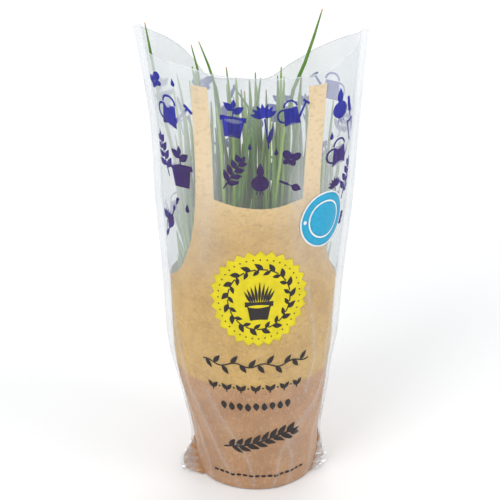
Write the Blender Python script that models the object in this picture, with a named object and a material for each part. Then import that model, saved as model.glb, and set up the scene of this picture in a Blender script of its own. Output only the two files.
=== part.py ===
"""A potted chive plant as a shop sells it: the pot stands in a tall clear film sleeve that is lined
with a brown paper apron. Metres, +Z up, the front towards -Y, the origin on the floor under the pot.
"""

import math
import random

import bmesh
import bpy
from mathutils import Vector
from mathutils.geometry import delaunay_2d_cdt

# What keeps touching pieces apart
GAP = 0.0003

# The sleeve's outer face, as (height, value) profiles
SLEEVE_HALF_WIDTH = [
    (0.000, 0.0500), (0.018, 0.0515), (0.040, 0.0530), (0.061, 0.0562), (0.080, 0.0592),
    (0.100, 0.0620), (0.117, 0.0636), (0.152, 0.0650), (0.179, 0.0660), (0.239, 0.0703),
    (0.305, 0.0731), (0.351, 0.0772), (0.378, 0.0800),
]
SLEEVE_HALF_DEPTH = [
    (0.000, 0.0470), (0.018, 0.0478), (0.040, 0.0500), (0.061, 0.0535), (0.080, 0.0575),
    (0.100, 0.0612), (0.117, 0.0608), (0.152, 0.0575), (0.179, 0.0550), (0.239, 0.0490),
    (0.305, 0.0425), (0.351, 0.0360), (0.378, 0.0330),
]
SLEEVE_LEAN = [(0.000, 0.0041), (0.018, 0.0044), (0.040, 0.0032), (0.061, 0.0028), (0.080, 0.0019),
               (0.100, 0.0006), (0.125, 0.0008), (0.180, 0.0014), (0.240, 0.0021), (0.305, 0.0026),
               (0.345, 0.0012), (0.378, -0.0002)]
# How pointed the section is at its seams: 1 is an ellipse, 2 a lens
SLEEVE_POINT = [(0.000, 1.00), (0.130, 1.00), (0.180, 1.05), (0.240, 1.20), (0.305, 1.45), (0.378, 1.70)]

# The mouth's edge as (degrees round the front or the back from its middle, height)
FRONT_RIM = [(-90, 0.3770), (-84, 0.3640), (-70, 0.3575), (-46, 0.3552), (-20, 0.3510), (7, 0.3488),
             (32, 0.3490), (49, 0.3515), (58, 0.3575), (70, 0.3608), (82, 0.3670), (90, 0.3740)]
BACK_RIM = [(-90, 0.3770), (-76, 0.3748), (-58, 0.3675), (-45, 0.3575), (-36, 0.3440), (-28, 0.3290),
            (-8, 0.3240), (8, 0.3245), (23, 0.3390), (39, 0.3535), (61, 0.3663), (90, 0.3740)]

FILM_WALL = 0.0007
FIN_WIDTH = 0.0055
FIN_INSIDE = 0.0004
# The bottom gusset's corners widen each fin: (height, width)
LEFT_FIN = [(0.0008, 0.0095), (0.004, 0.0110), (0.010, 0.0085), (0.018, 0.0040), (0.030, 0.0025),
            (0.060, 0.0030), (0.100, 0.0035), (0.130, FIN_WIDTH), (0.378, FIN_WIDTH)]
RIGHT_FIN = [(0.0008, 0.0060), (0.006, 0.0085), (0.012, 0.0060), (0.020, 0.0035), (0.030, 0.0025),
             (0.060, 0.0030), (0.100, 0.0035), (0.130, FIN_WIDTH), (0.375, FIN_WIDTH)]

# The paper apron's upper edge in front, as (degrees round the front, height)
PAPER_WALL = 0.0005
PAPER_SIDE_GAP = 0.0005
PAPER_BACK_TOP = 0.178
STRAP_TOP = 0.340
APRON_EDGE = [
    (-90, PAPER_BACK_TOP), (-76.5, 0.1815), (-66, 0.187), (-55.5, 0.196), (-47, 0.211), (-41.5, 0.228),
    (-38.1, 0.248), (-37.9, 0.285), (-37.8, 0.316), (-37.1, STRAP_TOP),
    (-25.8, STRAP_TOP), (-26.1, 0.312), (-25.8, 0.285), (-25.1, 0.258),
    (-11.3, 0.2540), (3, 0.2525), (16.5, 0.2540), (30.7, 0.258),
    (31, 0.285), (31.5, 0.311), (31.7, STRAP_TOP),
    (44.6, STRAP_TOP), (44.4, 0.314), (43.7, 0.290), (43.3, 0.265), (44.5, 0.246),
    (47.5, 0.230), (52.1, 0.216), (57, 0.2050), (64.5, 0.1945), (74.5, 0.1850), (90, PAPER_BACK_TOP),
]

# The wall grid that the film and the paper share, so that their facets lie side by side
COLUMN_STEP = 9
ROWS = [0.010, 0.022, 0.040, 0.060, 0.080, 0.100, 0.122, 0.150, 0.178, 0.208, 0.238, 0.268, 0.298,
        0.322, 0.343]
METRES_A_DEGREE = 0.001
CLEAR_OF_EDGE = 0.004

# The round sticker on the film
STICKER_RADIUS = 0.0215
STICKER_WALL = 0.0005
STICKER_DEGREES = 48.5
STICKER_HEIGHT = 0.2375
STICKER_LIFT = GAP + 0.0002
STICKER_RINGS = [0.0, 0.25, 0.5, 0.75, 1.0]
STICKER_SIDES = 28

# The pot stands on the sleeve's film and paper bottoms
POT_FOOT = FILM_WALL + GAP + PAPER_WALL + GAP
POT_HEIGHT = 0.106
POT_PROFILE = [
    (0.0, POT_FOOT + 0.0018), (0.0335, POT_FOOT + 0.0018), (0.0355, POT_FOOT), (0.0405, POT_FOOT),
    (0.0420, POT_FOOT + 0.0015), (0.0540, 0.0955), (0.0572, 0.0968), (0.0588, 0.0985),
    (0.0588, POT_HEIGHT - 0.0010), (0.0582, POT_HEIGHT), (0.0566, POT_HEIGHT),
    (0.0558, POT_HEIGHT - 0.0010), (0.0556, 0.0985), (0.0528, 0.0955), (0.0408, POT_FOOT + 0.0032), (0.0, POT_FOOT + 0.0032),
]
POT_SIDES = 40
DRAIN_RADIUS = 0.0035
DRAIN_RING = 0.024
DRAIN_COUNT = 6
DRAIN_SIDES = 8
DRAIN_CUT_TOP = 0.010

SOIL_TOP = 0.0945
SOIL_BOTTOM = POT_FOOT + 0.0032 + GAP
SOIL_BOTTOM_RADIUS = 0.0403
SOIL_TOP_RADIUS = 0.0523

# The chives: one tuft in the middle, two rings round it
TUFT_RINGS = [(1, 0.0), (5, 0.0175), (10, 0.0370)]
HOLE_RADIUS = 0.0080
HOLE_DEPTH = 0.0090
HOLE_SIDES = 10
CROWN_RISE = 0.0022
CROWN_SHOULDER = 0.0012
CROWN_TOP_SHARE = 0.75
BLADES_A_TUFT = 19
BLADE_SEGMENTS = 3
BLADE_SIDES = 3
BLADE_RADIUS = 0.00135
TIP_RADIUS = 0.00045
BLADE_BEND = 1.35
BLADE_TAPER = 2.2
BLADE_FOOT = -0.0030
BLADE_TOPS = (0.215, 0.352)
TALL_TOPS = (0.345, 0.372)
TALL_BLADES = (3, 11)
OUTER_DROP = 0.018
ROOT_SPREAD = 0.0052
CELL_RADIUS = 0.0090
FAN_RADIUS = 0.0520
FAN_FULL = 0.150
# One leaf stands far out of the mouth: its tuft and its place among the tuft's leaves
LEAF_REACH = 0.392
REACHING_TUFT = 7
REACHING_LEAF = 0
CLEAR_OF_PAPER = 0.0040
SEED = 11


def along(profile, at):
    """The value of a smooth curve through the profile's points."""
    at = min(max(at, profile[0][0]), profile[-1][0])
    last = len(profile) - 2
    i = min(max(sum(point[0] <= at for point in profile) - 1, 0), last)

    def slope(k):
        low, high = max(k - 1, 0), min(k + 1, len(profile) - 1)
        return (profile[high][1] - profile[low][1]) / (profile[high][0] - profile[low][0])

    step = profile[i + 1][0] - profile[i][0]
    t = (at - profile[i][0]) / step
    rise = (3 - 2 * t) * t * t
    start, end = (t - 2) * t * t + t, (t - 1) * t * t
    value = profile[i][1] * (1 - rise) + profile[i + 1][1] * rise
    return value + step * (start * slope(i) + end * slope(i + 1))


def straight(profile, at):
    """The value of straight lines through the profile's points."""
    for (a, low), (b, high) in zip(profile, profile[1:]):
        if at <= b:
            return low + (high - low) * max(at - a, 0) / (b - a)
    return profile[-1][1]


def sleeve_point(degrees, height, inset):
    """A point of the sleeve's wall, inset from its outer face. 0 degrees is the middle of the front,
    90 and -90 the seams, and 180 the middle of the back."""
    angle = math.radians(degrees)
    half_width = along(SLEEVE_HALF_WIDTH, height) - inset
    half_depth = along(SLEEVE_HALF_DEPTH, height) - inset
    depth = abs(math.cos(angle)) ** along(SLEEVE_POINT, height)
    x = along(SLEEVE_LEAN, height) + half_width * math.sin(angle)
    return Vector((x, -math.copysign(half_depth * depth, math.cos(angle)), height))


def new_material(name, colour, roughness, alpha=1.0):
    material = bpy.data.materials.new(name)
    material.use_nodes = True
    material.diffuse_color = (*colour, alpha)
    shader = material.node_tree.nodes["Principled BSDF"]
    shader.inputs["Base Color"].default_value = (*colour, 1.0)
    shader.inputs["Roughness"].default_value = roughness
    shader.inputs["Metallic"].default_value = 0.0
    shader.inputs["Alpha"].default_value = alpha
    return material


def new_object(name, mesh, material, hidden=False):
    item = bpy.data.objects.new(name, mesh)
    bpy.context.scene.collection.objects.link(item)
    if material:
        mesh.materials.append(material)
    if hidden:
        item.hide_render = True
        item.display_type = "WIRE"
    return item


def mesh_of(name, points, faces):
    mesh = bpy.data.meshes.new(name)
    mesh.from_pydata([tuple(point) for point in points], [], faces)
    return mesh


def join_all(item, others):
    """Fuses the other objects into this one by a single union, and removes them."""
    group = bpy.data.collections.new(item.name + "_pieces")
    bpy.context.scene.collection.children.link(group)
    for other in others:
        bpy.context.scene.collection.objects.unlink(other)
        group.objects.link(other)
    union = item.modifiers.new("union", "BOOLEAN")
    union.operation = "UNION"
    union.operand_type = "COLLECTION"
    union.collection = group
    graph = bpy.context.evaluated_depsgraph_get()
    fused = bpy.data.meshes.new_from_object(item.evaluated_get(graph))
    item.modifiers.clear()
    item.data = fused
    for other in others:
        bpy.data.objects.remove(other)
    bpy.data.collections.remove(group)


def cut_with(item, cutters):
    """Cuts every cutter out of this object by a single difference, and removes the cutters."""
    group = bpy.data.collections.new(item.name + "_cutters")
    bpy.context.scene.collection.children.link(group)
    for cutter in cutters:
        bpy.context.scene.collection.objects.unlink(cutter)
        group.objects.link(cutter)
    cut = item.modifiers.new("cut", "BOOLEAN")
    cut.operation = "DIFFERENCE"
    cut.operand_type = "COLLECTION"
    cut.collection = group
    graph = bpy.context.evaluated_depsgraph_get()
    carved = bpy.data.meshes.new_from_object(item.evaluated_get(graph))
    item.modifiers.clear()
    item.data = carved
    for cutter in cutters:
        bpy.data.objects.remove(cutter)
    bpy.data.collections.remove(group)


def flat_grid(outline):
    """Triangles that fill an outline drawn in flat metres, with the wall grid's points inside it."""
    corners = len(outline)
    points = list(outline)
    for column in range(-180 + COLUMN_STEP, 180, COLUMN_STEP):
        for row in ROWS:
            spot = Vector((column * METRES_A_DEGREE, row))
            if inside(outline, spot) and distance_to(outline, spot) > CLEAR_OF_EDGE:
                points.append(spot)
    edges = [(i, (i + 1) % corners) for i in range(corners)]
    spots, _, faces, *_ = delaunay_2d_cdt(points, edges, [], 1, 1e-7)
    return spots, faces


def inside(outline, spot):
    """Whether the spot lies within the closed outline."""
    crossings = 0
    for a, b in zip(outline, outline[1:] + outline[:1]):
        if (a.y > spot.y) != (b.y > spot.y):
            crossings += spot.x < a.x + (b.x - a.x) * (spot.y - a.y) / (b.y - a.y)
    return crossings % 2 == 1


def distance_to(outline, spot):
    """How far the spot is from the nearest side of the outline."""
    nearest = math.inf
    for a, b in zip(outline, outline[1:] + outline[:1]):
        side = b - a
        share = min(max((spot - a).dot(side) / side.length_squared, 0), 1)
        nearest = min(nearest, (a + side * share - spot).length)
    return nearest


def wrapped_cup(name, upper_edge, inset, wall, bottom):
    """A closed cup wrapped round the sleeve's form: the flat outline between its bottom and its
    upper edge, laid on the sleeve twice, a wall's thickness apart, with both bottoms filled in."""
    columns = range(-180, 181, COLUMN_STEP)
    lower = [Vector((column * METRES_A_DEGREE, 0.0)) for column in columns]
    side_rows = [row for row in ROWS if row < upper_edge[0][1] - CLEAR_OF_EDGE]
    right = [Vector((180 * METRES_A_DEGREE, row)) for row in side_rows]
    left = [Vector((-180 * METRES_A_DEGREE, row)) for row in reversed(side_rows)]
    upper = [Vector((degrees * METRES_A_DEGREE, height)) for degrees, height in reversed(upper_edge)]
    spots, faces = flat_grid(lower + right + upper + left)

    def laid(depth, floor):
        for spot in spots:
            height = max(spot.y, floor)
            yield sleeve_point(spot.x / METRES_A_DEGREE, height, depth)

    count = len(spots)
    points = [*laid(inset, bottom), *laid(inset + wall, bottom + wall)]
    sheet = [tuple(face) for face in faces]
    sheet += [tuple(count + corner for corner in reversed(face)) for face in faces]
    shape = bmesh.new()
    made = [shape.verts.new(point) for point in points]
    for face in sheet:
        shape.faces.new([made[corner] for corner in face])
    bmesh.ops.remove_doubles(shape, verts=shape.verts, dist=1e-6)
    close_cup(shape, bottom, wall)
    mesh = bpy.data.meshes.new(name)
    shape.to_mesh(mesh)
    shape.free()
    return mesh


def close_cup(shape, bottom, wall):
    """Fills both bottoms and joins the two walls along the upper edge."""
    floor = bottom + wall / 2
    low, rims = [], []
    for edge in shape.edges:
        if len(edge.link_faces) == 1:
            both_low = all(abs(corner.co.z - floor) < wall for corner in edge.verts)
            (low if both_low else rims).append(edge)
    outer = [edge for edge in low if edge.verts[0].co.z < floor]
    inner = [edge for edge in low if edge.verts[0].co.z > floor]
    bmesh.ops.contextual_create(shape, geom=outer)
    bmesh.ops.contextual_create(shape, geom=inner)
    bmesh.ops.bridge_loops(shape, edges=rims)
    bmesh.ops.triangulate(shape, faces=shape.faces)
    bmesh.ops.recalc_face_normals(shape, faces=shape.faces)


def full_edge(front, back):
    """The upper edge all the way round, from the middle of the back over the front and on, with a
    point at each of the wall grid's columns."""
    left = [(-180 - degrees, height) for degrees, height in reversed(back) if -90 < degrees < 0]
    right = [(180 - degrees, height) for degrees, height in reversed(back) if 0 < degrees < 90]
    middle = straight(back, 0)
    corners = [(-180, middle), *left, *front, *right, (180, middle)]
    edge = []
    for (a, low), (b, high) in zip(corners, corners[1:]):
        edge.append((a, low))
        if b - a > COLUMN_STEP / 2:
            for column in range(-180, 181, COLUMN_STEP):
                if a + 2 < column < b - 2:
                    edge.append((column, low + (high - low) * (column - a) / (b - a)))
    return [*edge, corners[-1]]


def fin(name, side, profile):
    """The welded strip along one seam, which ends in the gusset's corner at the bottom."""
    half = FILM_WALL / 2
    points, faces = [], []
    for height, width in profile:
        seam = sleeve_point(90 * side, height, 0)
        for reach, y in ((-FIN_INSIDE, -half), (width, -half), (width, half), (-FIN_INSIDE, half)):
            points.append((seam.x + side * reach, y, height))
    rows = len(profile)
    for row in range(rows - 1):
        for k in range(4):
            a, b = 4 * row + k, 4 * row + (k + 1) % 4
            faces.append((a, b, b + 4, a + 4))
    faces += [(3, 2, 1, 0), tuple(4 * rows - 4 + k for k in range(4))]
    mesh = mesh_of(name, points, faces)
    shape = bmesh.new()
    shape.from_mesh(mesh)
    bmesh.ops.triangulate(shape, faces=shape.faces)
    bmesh.ops.recalc_face_normals(shape, faces=shape.faces)
    shape.to_mesh(mesh)
    shape.free()
    return mesh


def dense_fin(profile):
    """The fin's profile with a row at each of the wall grid's heights as well."""
    heights = sorted({height for height, _ in profile} | {row for row in ROWS if row < profile[-1][0]})
    return [(height, straight(profile, height)) for height in heights]


def build_film_sleeve(material):
    edge = full_edge(FRONT_RIM, BACK_RIM)
    sleeve = new_object("film_sleeve", wrapped_cup("film_sleeve", edge, 0.0, FILM_WALL, 0.0), material)
    fins = []
    for name, side, profile in (("left_fin", -1, LEFT_FIN), ("right_fin", 1, RIGHT_FIN)):
        fins.append(new_object(name, fin(name, side, dense_fin(profile)), material))
    join_all(sleeve, fins)


def build_kraft_pocket(material):
    edge = full_edge(APRON_EDGE, [(-90, PAPER_BACK_TOP), (0, PAPER_BACK_TOP), (90, PAPER_BACK_TOP)])
    inset, bottom = FILM_WALL + PAPER_SIDE_GAP, FILM_WALL + GAP
    new_object("kraft_pocket", wrapped_cup("kraft_pocket", edge, inset, PAPER_WALL, bottom), material)


def build_sticker(material):
    """A disc laid on the film's outer face."""
    across = (sleeve_point(STICKER_DEGREES + 1, STICKER_HEIGHT, 0)
              - sleeve_point(STICKER_DEGREES - 1, STICKER_HEIGHT, 0)).length / 2
    shape = bmesh.new()
    layers = []
    for lift in (STICKER_LIFT, STICKER_LIFT + STICKER_WALL):
        layer = []
        for ring in STICKER_RINGS:
            count = STICKER_SIDES if ring else 1
            for k in range(count):
                turn = 2 * math.pi * k / STICKER_SIDES
                degrees = STICKER_DEGREES + STICKER_RADIUS * ring * math.cos(turn) / across
                height = STICKER_HEIGHT + STICKER_RADIUS * ring * math.sin(turn)
                layer.append(shape.verts.new(sleeve_point(degrees, height, -lift)))
        layers.append(layer)
    for layer in layers:
        for k in range(STICKER_SIDES):
            after = (k + 1) % STICKER_SIDES
            shape.faces.new((layer[0], layer[1 + k], layer[1 + after]))
            for ring in range(len(STICKER_RINGS) - 2):
                a, b = 1 + ring * STICKER_SIDES, 1 + (ring + 1) * STICKER_SIDES
                shape.faces.new((layer[a + k], layer[b + k], layer[b + after], layer[a + after]))
    last = 1 + (len(STICKER_RINGS) - 2) * STICKER_SIDES
    low, high = layers
    for k in range(STICKER_SIDES):
        after = (k + 1) % STICKER_SIDES
        shape.faces.new((low[last + k], low[last + after], high[last + after], high[last + k]))
    bmesh.ops.triangulate(shape, faces=shape.faces)
    bmesh.ops.recalc_face_normals(shape, faces=shape.faces)
    mesh = bpy.data.meshes.new("round_sticker")
    shape.to_mesh(mesh)
    shape.free()
    new_object("round_sticker", mesh, material)


def turned(name, profile, sides):
    """A solid of revolution from its profile, whose first and last points lie on the axis."""
    points = [(0, 0, profile[0][1]), (0, 0, profile[-1][1])]
    faces = []
    rings = profile[1:-1]
    for radius, height in rings:
        for k in range(sides):
            turn = 2 * math.pi * k / sides
            points.append((radius * math.cos(turn), radius * math.sin(turn), height))
    for k in range(sides):
        after = (k + 1) % sides
        faces.append((0, 2 + after, 2 + k))
        for ring in range(len(rings) - 1):
            a, b = 2 + ring * sides, 2 + (ring + 1) * sides
            faces.append((a + k, a + after, b + after, b + k))
        last = 2 + (len(rings) - 1) * sides
        faces.append((1, last + k, last + after))
    return mesh_of(name, points, faces)


def upright_prism(name, place, radius, low, high, sides):
    """A round post with its axis upright."""
    profile = [(0, low), (radius, low), (radius, high), (0, high)]
    item = new_object(name, turned(name, profile, sides), None, hidden=True)
    item.location = (place[0], place[1], 0)
    return item


def build_pot(material):
    pot = new_object("pot", turned("pot", POT_PROFILE, POT_SIDES), material)
    cutters = []
    for k in range(DRAIN_COUNT):
        turn = 2 * math.pi * k / DRAIN_COUNT
        place = (DRAIN_RING * math.cos(turn), DRAIN_RING * math.sin(turn))
        cutters.append(upright_prism(f"drain_{k}", place, DRAIN_RADIUS, 0.0, DRAIN_CUT_TOP, DRAIN_SIDES))
    bpy.context.view_layer.update()
    cut_with(pot, cutters)
    pot.data.shade_smooth()
    pot.data.set_sharp_from_angle(angle=math.radians(35))


def tuft_places():
    """Where each tuft stands in the soil."""
    for count, radius in TUFT_RINGS:
        for k in range(count):
            turn = 2 * math.pi * (k + 0.5 * (count == 5)) / count
            yield radius * math.cos(turn), radius * math.sin(turn)


def build_soil(material):
    profile = [(0, SOIL_BOTTOM), (SOIL_BOTTOM_RADIUS, SOIL_BOTTOM), (SOIL_TOP_RADIUS, SOIL_TOP - 0.001),
               (SOIL_TOP_RADIUS - 0.002, SOIL_TOP), (0, SOIL_TOP)]
    soil = new_object("soil", turned("soil", profile, POT_SIDES), material)
    cutters = []
    for number, place in enumerate(tuft_places()):
        low, high = SOIL_TOP - HOLE_DEPTH, SOIL_TOP + 0.01
        cutters.append(upright_prism(f"hole_{number}", place, HOLE_RADIUS, low, high, HOLE_SIDES))
    bpy.context.view_layer.update()
    cut_with(soil, cutters)


def fanned(spot, height):
    """Where a spot of the soil's disc goes at this height, as the leaves fan out into the sleeve."""
    share = min(max((height - SOIL_TOP) / (FAN_FULL - SOIL_TOP), 0), 1)
    share = share * share * (3 - 2 * share)
    lined = FILM_WALL + GAP + PAPER_WALL + CLEAR_OF_PAPER
    half_width = FAN_RADIUS + (along(SLEEVE_HALF_WIDTH, height) - lined - FAN_RADIUS) * share
    half_depth = FAN_RADIUS + (along(SLEEVE_HALF_DEPTH, height) - lined - FAN_RADIUS) * share
    x = along(SLEEVE_LEAN, height) * share + half_width * spot[0] / FAN_RADIUS
    return Vector((x, half_depth * spot[1] / FAN_RADIUS, height))


def blade_mesh(name, root, tip, foot, top):
    """One tapering three-sided leaf from its foot in the crown to its tip."""
    points, faces = [], []
    for level in range(BLADE_SEGMENTS + 1):
        t = level / BLADE_SEGMENTS
        height = foot + (top - foot) * t
        bend = t ** BLADE_BEND
        spot = (root[0] + (tip[0] - root[0]) * bend, root[1] + (tip[1] - root[1]) * bend)
        centre = fanned(spot, height)
        radius = BLADE_RADIUS + (TIP_RADIUS - BLADE_RADIUS) * t ** BLADE_TAPER
        for k in range(BLADE_SIDES):
            turn = 2 * math.pi * k / BLADE_SIDES + root[0] * 900
            points.append((centre.x + radius * math.cos(turn), centre.y + radius * math.sin(turn), height))
    for level in range(BLADE_SEGMENTS):
        for k in range(BLADE_SIDES):
            a, b = BLADE_SIDES * level + k, BLADE_SIDES * level + (k + 1) % BLADE_SIDES
            faces += [(a, b, b + BLADE_SIDES), (a, b + BLADE_SIDES, a + BLADE_SIDES)]
    end = BLADE_SIDES * BLADE_SEGMENTS
    faces += [(2, 1, 0), (end, end + 1, end + 2)]
    return mesh_of(name, points, faces)


def build_tuft(number, place, material, draw):
    """One clump: a low bulb crown sunk in its hole, and the leaves that rise from it."""
    low, high = SOIL_TOP - HOLE_DEPTH + GAP, SOIL_TOP + CROWN_RISE
    radius = HOLE_RADIUS - GAP / math.cos(math.pi / HOLE_SIDES)
    profile = [(0, low), (radius, low), (radius, high - CROWN_SHOULDER),
               (radius * CROWN_TOP_SHARE, high), (0, high)]
    name = f"chive_tuft_{number:02d}"
    tuft = new_object(name, turned(name, profile, HOLE_SIDES), material)
    for point in tuft.data.vertices:
        point.co.x += place[0]
        point.co.y += place[1]
    blades = []
    outwards = math.hypot(*place) / TUFT_RINGS[-1][1]
    for k in range(BLADES_A_TUFT):
        turn = k * math.pi * (3 - math.sqrt(5)) + number
        share = math.sqrt((k + 0.5) / BLADES_A_TUFT)
        side = (math.cos(turn) * share, math.sin(turn) * share)
        root = tuple(place[i] + side[i] * ROOT_SPREAD for i in range(2))
        tip = tuple(place[i] + side[i] * CELL_RADIUS for i in range(2))
        top = draw.uniform(*BLADE_TOPS) - OUTER_DROP * outwards * share
        if k in TALL_BLADES:
            top = draw.uniform(*TALL_TOPS)
        if number == REACHING_TUFT and k == REACHING_LEAF:
            top = LEAF_REACH
        mesh = blade_mesh("blade", root, tip, high + BLADE_FOOT, top)
        blades.append(new_object("blade", mesh, material))
    join_all(tuft, blades)


def main():
    for item in list(bpy.data.objects):
        bpy.data.objects.remove(item)
    draw = random.Random(SEED)
    film = new_material("clear film", (0.86, 0.88, 0.90), 0.12, 0.3)
    paper = new_material("brown kraft paper", (0.56, 0.35, 0.19), 0.55)
    print_blue = new_material("turquoise sticker", (0.01, 0.38, 0.62), 0.35)
    terracotta = new_material("terracotta plastic", (0.42, 0.14, 0.06), 0.5)
    earth = new_material("potting soil", (0.035, 0.022, 0.014), 0.95)
    leaf = new_material("chive leaf", (0.10, 0.24, 0.04), 0.45)
    build_film_sleeve(film)
    build_kraft_pocket(paper)
    build_sticker(print_blue)
    build_pot(terracotta)
    build_soil(earth)
    for number, place in enumerate(tuft_places(), start=1):
        build_tuft(number, place, leaf, draw)


main()
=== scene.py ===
"""Dresses the potted chive plant: crisp film with its print, kraft apron, leaves, soil and pot."""

import math
import random
from contextlib import contextmanager

import bmesh
import bpy
import numpy as np
from mathutils import Euler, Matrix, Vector
from mathutils.geometry import delaunay_2d_cdt


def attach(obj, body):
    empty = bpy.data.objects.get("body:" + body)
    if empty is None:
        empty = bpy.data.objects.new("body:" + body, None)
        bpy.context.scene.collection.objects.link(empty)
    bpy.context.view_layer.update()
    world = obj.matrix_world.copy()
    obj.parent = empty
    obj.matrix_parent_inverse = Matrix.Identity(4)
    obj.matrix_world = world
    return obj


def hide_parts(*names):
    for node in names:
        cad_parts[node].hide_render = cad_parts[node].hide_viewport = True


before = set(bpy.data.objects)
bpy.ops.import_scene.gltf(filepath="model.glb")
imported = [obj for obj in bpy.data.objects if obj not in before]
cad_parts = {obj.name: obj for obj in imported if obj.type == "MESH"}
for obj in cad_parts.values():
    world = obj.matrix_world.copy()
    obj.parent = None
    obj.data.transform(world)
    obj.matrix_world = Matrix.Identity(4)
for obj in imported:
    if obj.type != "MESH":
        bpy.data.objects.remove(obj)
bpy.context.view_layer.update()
TUFT_NODES = sorted(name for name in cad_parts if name.startswith("chive_tuft"))

# The photograph's view, in metres and degrees
CAMERA_PLACE = (-0.0010, -0.8934, 0.6384)
CAMERA_PITCH = 26.33
CAMERA_LENS = 91.4
SENSOR = 36.0

# The sleeve's outer face, as (height, value) profiles
SLEEVE_HALF_WIDTH = [
    (0.000, 0.0500), (0.018, 0.0515), (0.040, 0.0530), (0.061, 0.0562), (0.080, 0.0592),
    (0.100, 0.0620), (0.117, 0.0636), (0.152, 0.0650), (0.179, 0.0660), (0.239, 0.0703),
    (0.305, 0.0731), (0.351, 0.0772), (0.378, 0.0800),
]
SLEEVE_HALF_DEPTH = [
    (0.000, 0.0470), (0.018, 0.0478), (0.040, 0.0500), (0.061, 0.0535), (0.080, 0.0575),
    (0.100, 0.0612), (0.117, 0.0608), (0.152, 0.0575), (0.179, 0.0550), (0.239, 0.0490),
    (0.305, 0.0425), (0.351, 0.0360), (0.378, 0.0330),
]
SLEEVE_LEAN = [(0.000, 0.0041), (0.018, 0.0044), (0.040, 0.0032), (0.061, 0.0028), (0.080, 0.0019),
               (0.100, 0.0006), (0.125, 0.0008), (0.180, 0.0014), (0.240, 0.0021), (0.305, 0.0026),
               (0.345, 0.0012), (0.378, -0.0002)]
SLEEVE_POINT = [(0.000, 1.00), (0.130, 1.00), (0.180, 1.05), (0.240, 1.20), (0.305, 1.45), (0.378, 1.70)]
FRONT_RIM = [(-90, 0.3770), (-84, 0.3640), (-70, 0.3575), (-46, 0.3552), (-20, 0.3510), (7, 0.3488),
             (32, 0.3490), (49, 0.3515), (58, 0.3575), (70, 0.3608), (82, 0.3670), (90, 0.3740)]
BACK_RIM = [(-90, 0.3770), (-76, 0.3748), (-58, 0.3675), (-45, 0.3575), (-36, 0.3440), (-28, 0.3290),
            (-8, 0.3240), (8, 0.3245), (23, 0.3390), (39, 0.3535), (61, 0.3663), (90, 0.3740)]

FILM_WALL = 0.00012
FIN_WIDTH = 0.0055
LEFT_FIN = [(0.0008, 0.0095), (0.004, 0.0110), (0.010, 0.0085), (0.018, 0.0040), (0.030, 0.0025),
            (0.060, 0.0030), (0.100, 0.0035), (0.130, FIN_WIDTH), (0.378, FIN_WIDTH)]
RIGHT_FIN = [(0.0008, 0.0060), (0.006, 0.0085), (0.012, 0.0060), (0.020, 0.0035), (0.030, 0.0025),
             (0.060, 0.0030), (0.100, 0.0035), (0.130, FIN_WIDTH), (0.375, FIN_WIDTH)]
EAR_TOP = 0.016
# Nothing stands out further than this in front or behind
DEPTH_LIMIT = 0.0610

# The paper lies just inside the film
PAPER_WALL = 0.00022
PAPER_LIFT = -0.00040
PAPER_FOOT = 0.0006
PAPER_STEP = 0.0028
PAPER_EDGE_STEP = 0.0022
PAPER_BACK_TOP = 0.178
STRAP_TOP = 0.341
APRON_EDGE = [
    (-90, PAPER_BACK_TOP), (-76.5, 0.1815), (-66, 0.187), (-55.5, 0.196), (-47, 0.211), (-41.5, 0.228),
    (-38.1, 0.248), (-37.9, 0.285), (-37.8, 0.316), (-37.1, STRAP_TOP),
    (-25.8, STRAP_TOP), (-26.1, 0.312), (-25.8, 0.285), (-25.1, 0.258),
    (-11.3, 0.2540), (3, 0.2525), (16.5, 0.2540), (30.7, 0.258),
    (31, 0.285), (31.5, 0.311), (31.7, STRAP_TOP),
    (44.6, STRAP_TOP), (44.4, 0.314), (43.7, 0.290), (43.3, 0.265), (44.5, 0.246),
    (47.5, 0.230), (52.1, 0.216), (57, 0.2050), (64.5, 0.1945), (74.5, 0.1850), (90, PAPER_BACK_TOP),
]
# The places in that list of the corners that stay sharp
SHARP_CORNERS = (9, 10, 13, 17, 20, 21)
CORNER_CUTS = 2
METRES_A_DEGREE = 0.00112

POT_LIP = 0.106
SOIL_TOP = 0.0945
SOIL_RADIUS = 0.0523
TUFT_RINGS = [(1, 0.0), (5, 0.0175), (10, 0.0370)]
FAN_RADIUS = 0.0520
FAN_FULL = 0.150
LEAF_CLEARANCE = 0.0040


# Shapes of the sleeve


def along(profile, at):
    """The values, at an array of places, of a smooth curve through the profile's points."""
    xs, ys = np.array(profile).T
    at = np.clip(np.asarray(at, float), xs[0], xs[-1])
    before, after = np.r_[0, np.arange(len(xs) - 1)], np.r_[np.arange(1, len(xs)), len(xs) - 1]
    slopes = (ys[after] - ys[before]) / (xs[after] - xs[before])
    i = np.clip(np.searchsorted(xs, at, side="right") - 1, 0, len(xs) - 2)
    step = xs[i + 1] - xs[i]
    t = (at - xs[i]) / step
    rise = (3 - 2 * t) * t * t
    start, end = (t - 2) * t * t + t, (t - 1) * t * t
    return ys[i] * (1 - rise) + ys[i + 1] * rise + step * (start * slopes[i] + end * slopes[i + 1])


def rim_height(degrees):
    """The height of the mouth's edge at angles round the sleeve, rounded at its corners."""
    degrees = (np.asarray(degrees, float) + 180) % 360 - 180
    behind = np.abs(degrees) > 90
    back_degrees = np.where(degrees > 0, 180 - degrees, -180 - degrees)
    return np.where(behind, along(BACK_RIM, back_degrees), along(FRONT_RIM, degrees))


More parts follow.
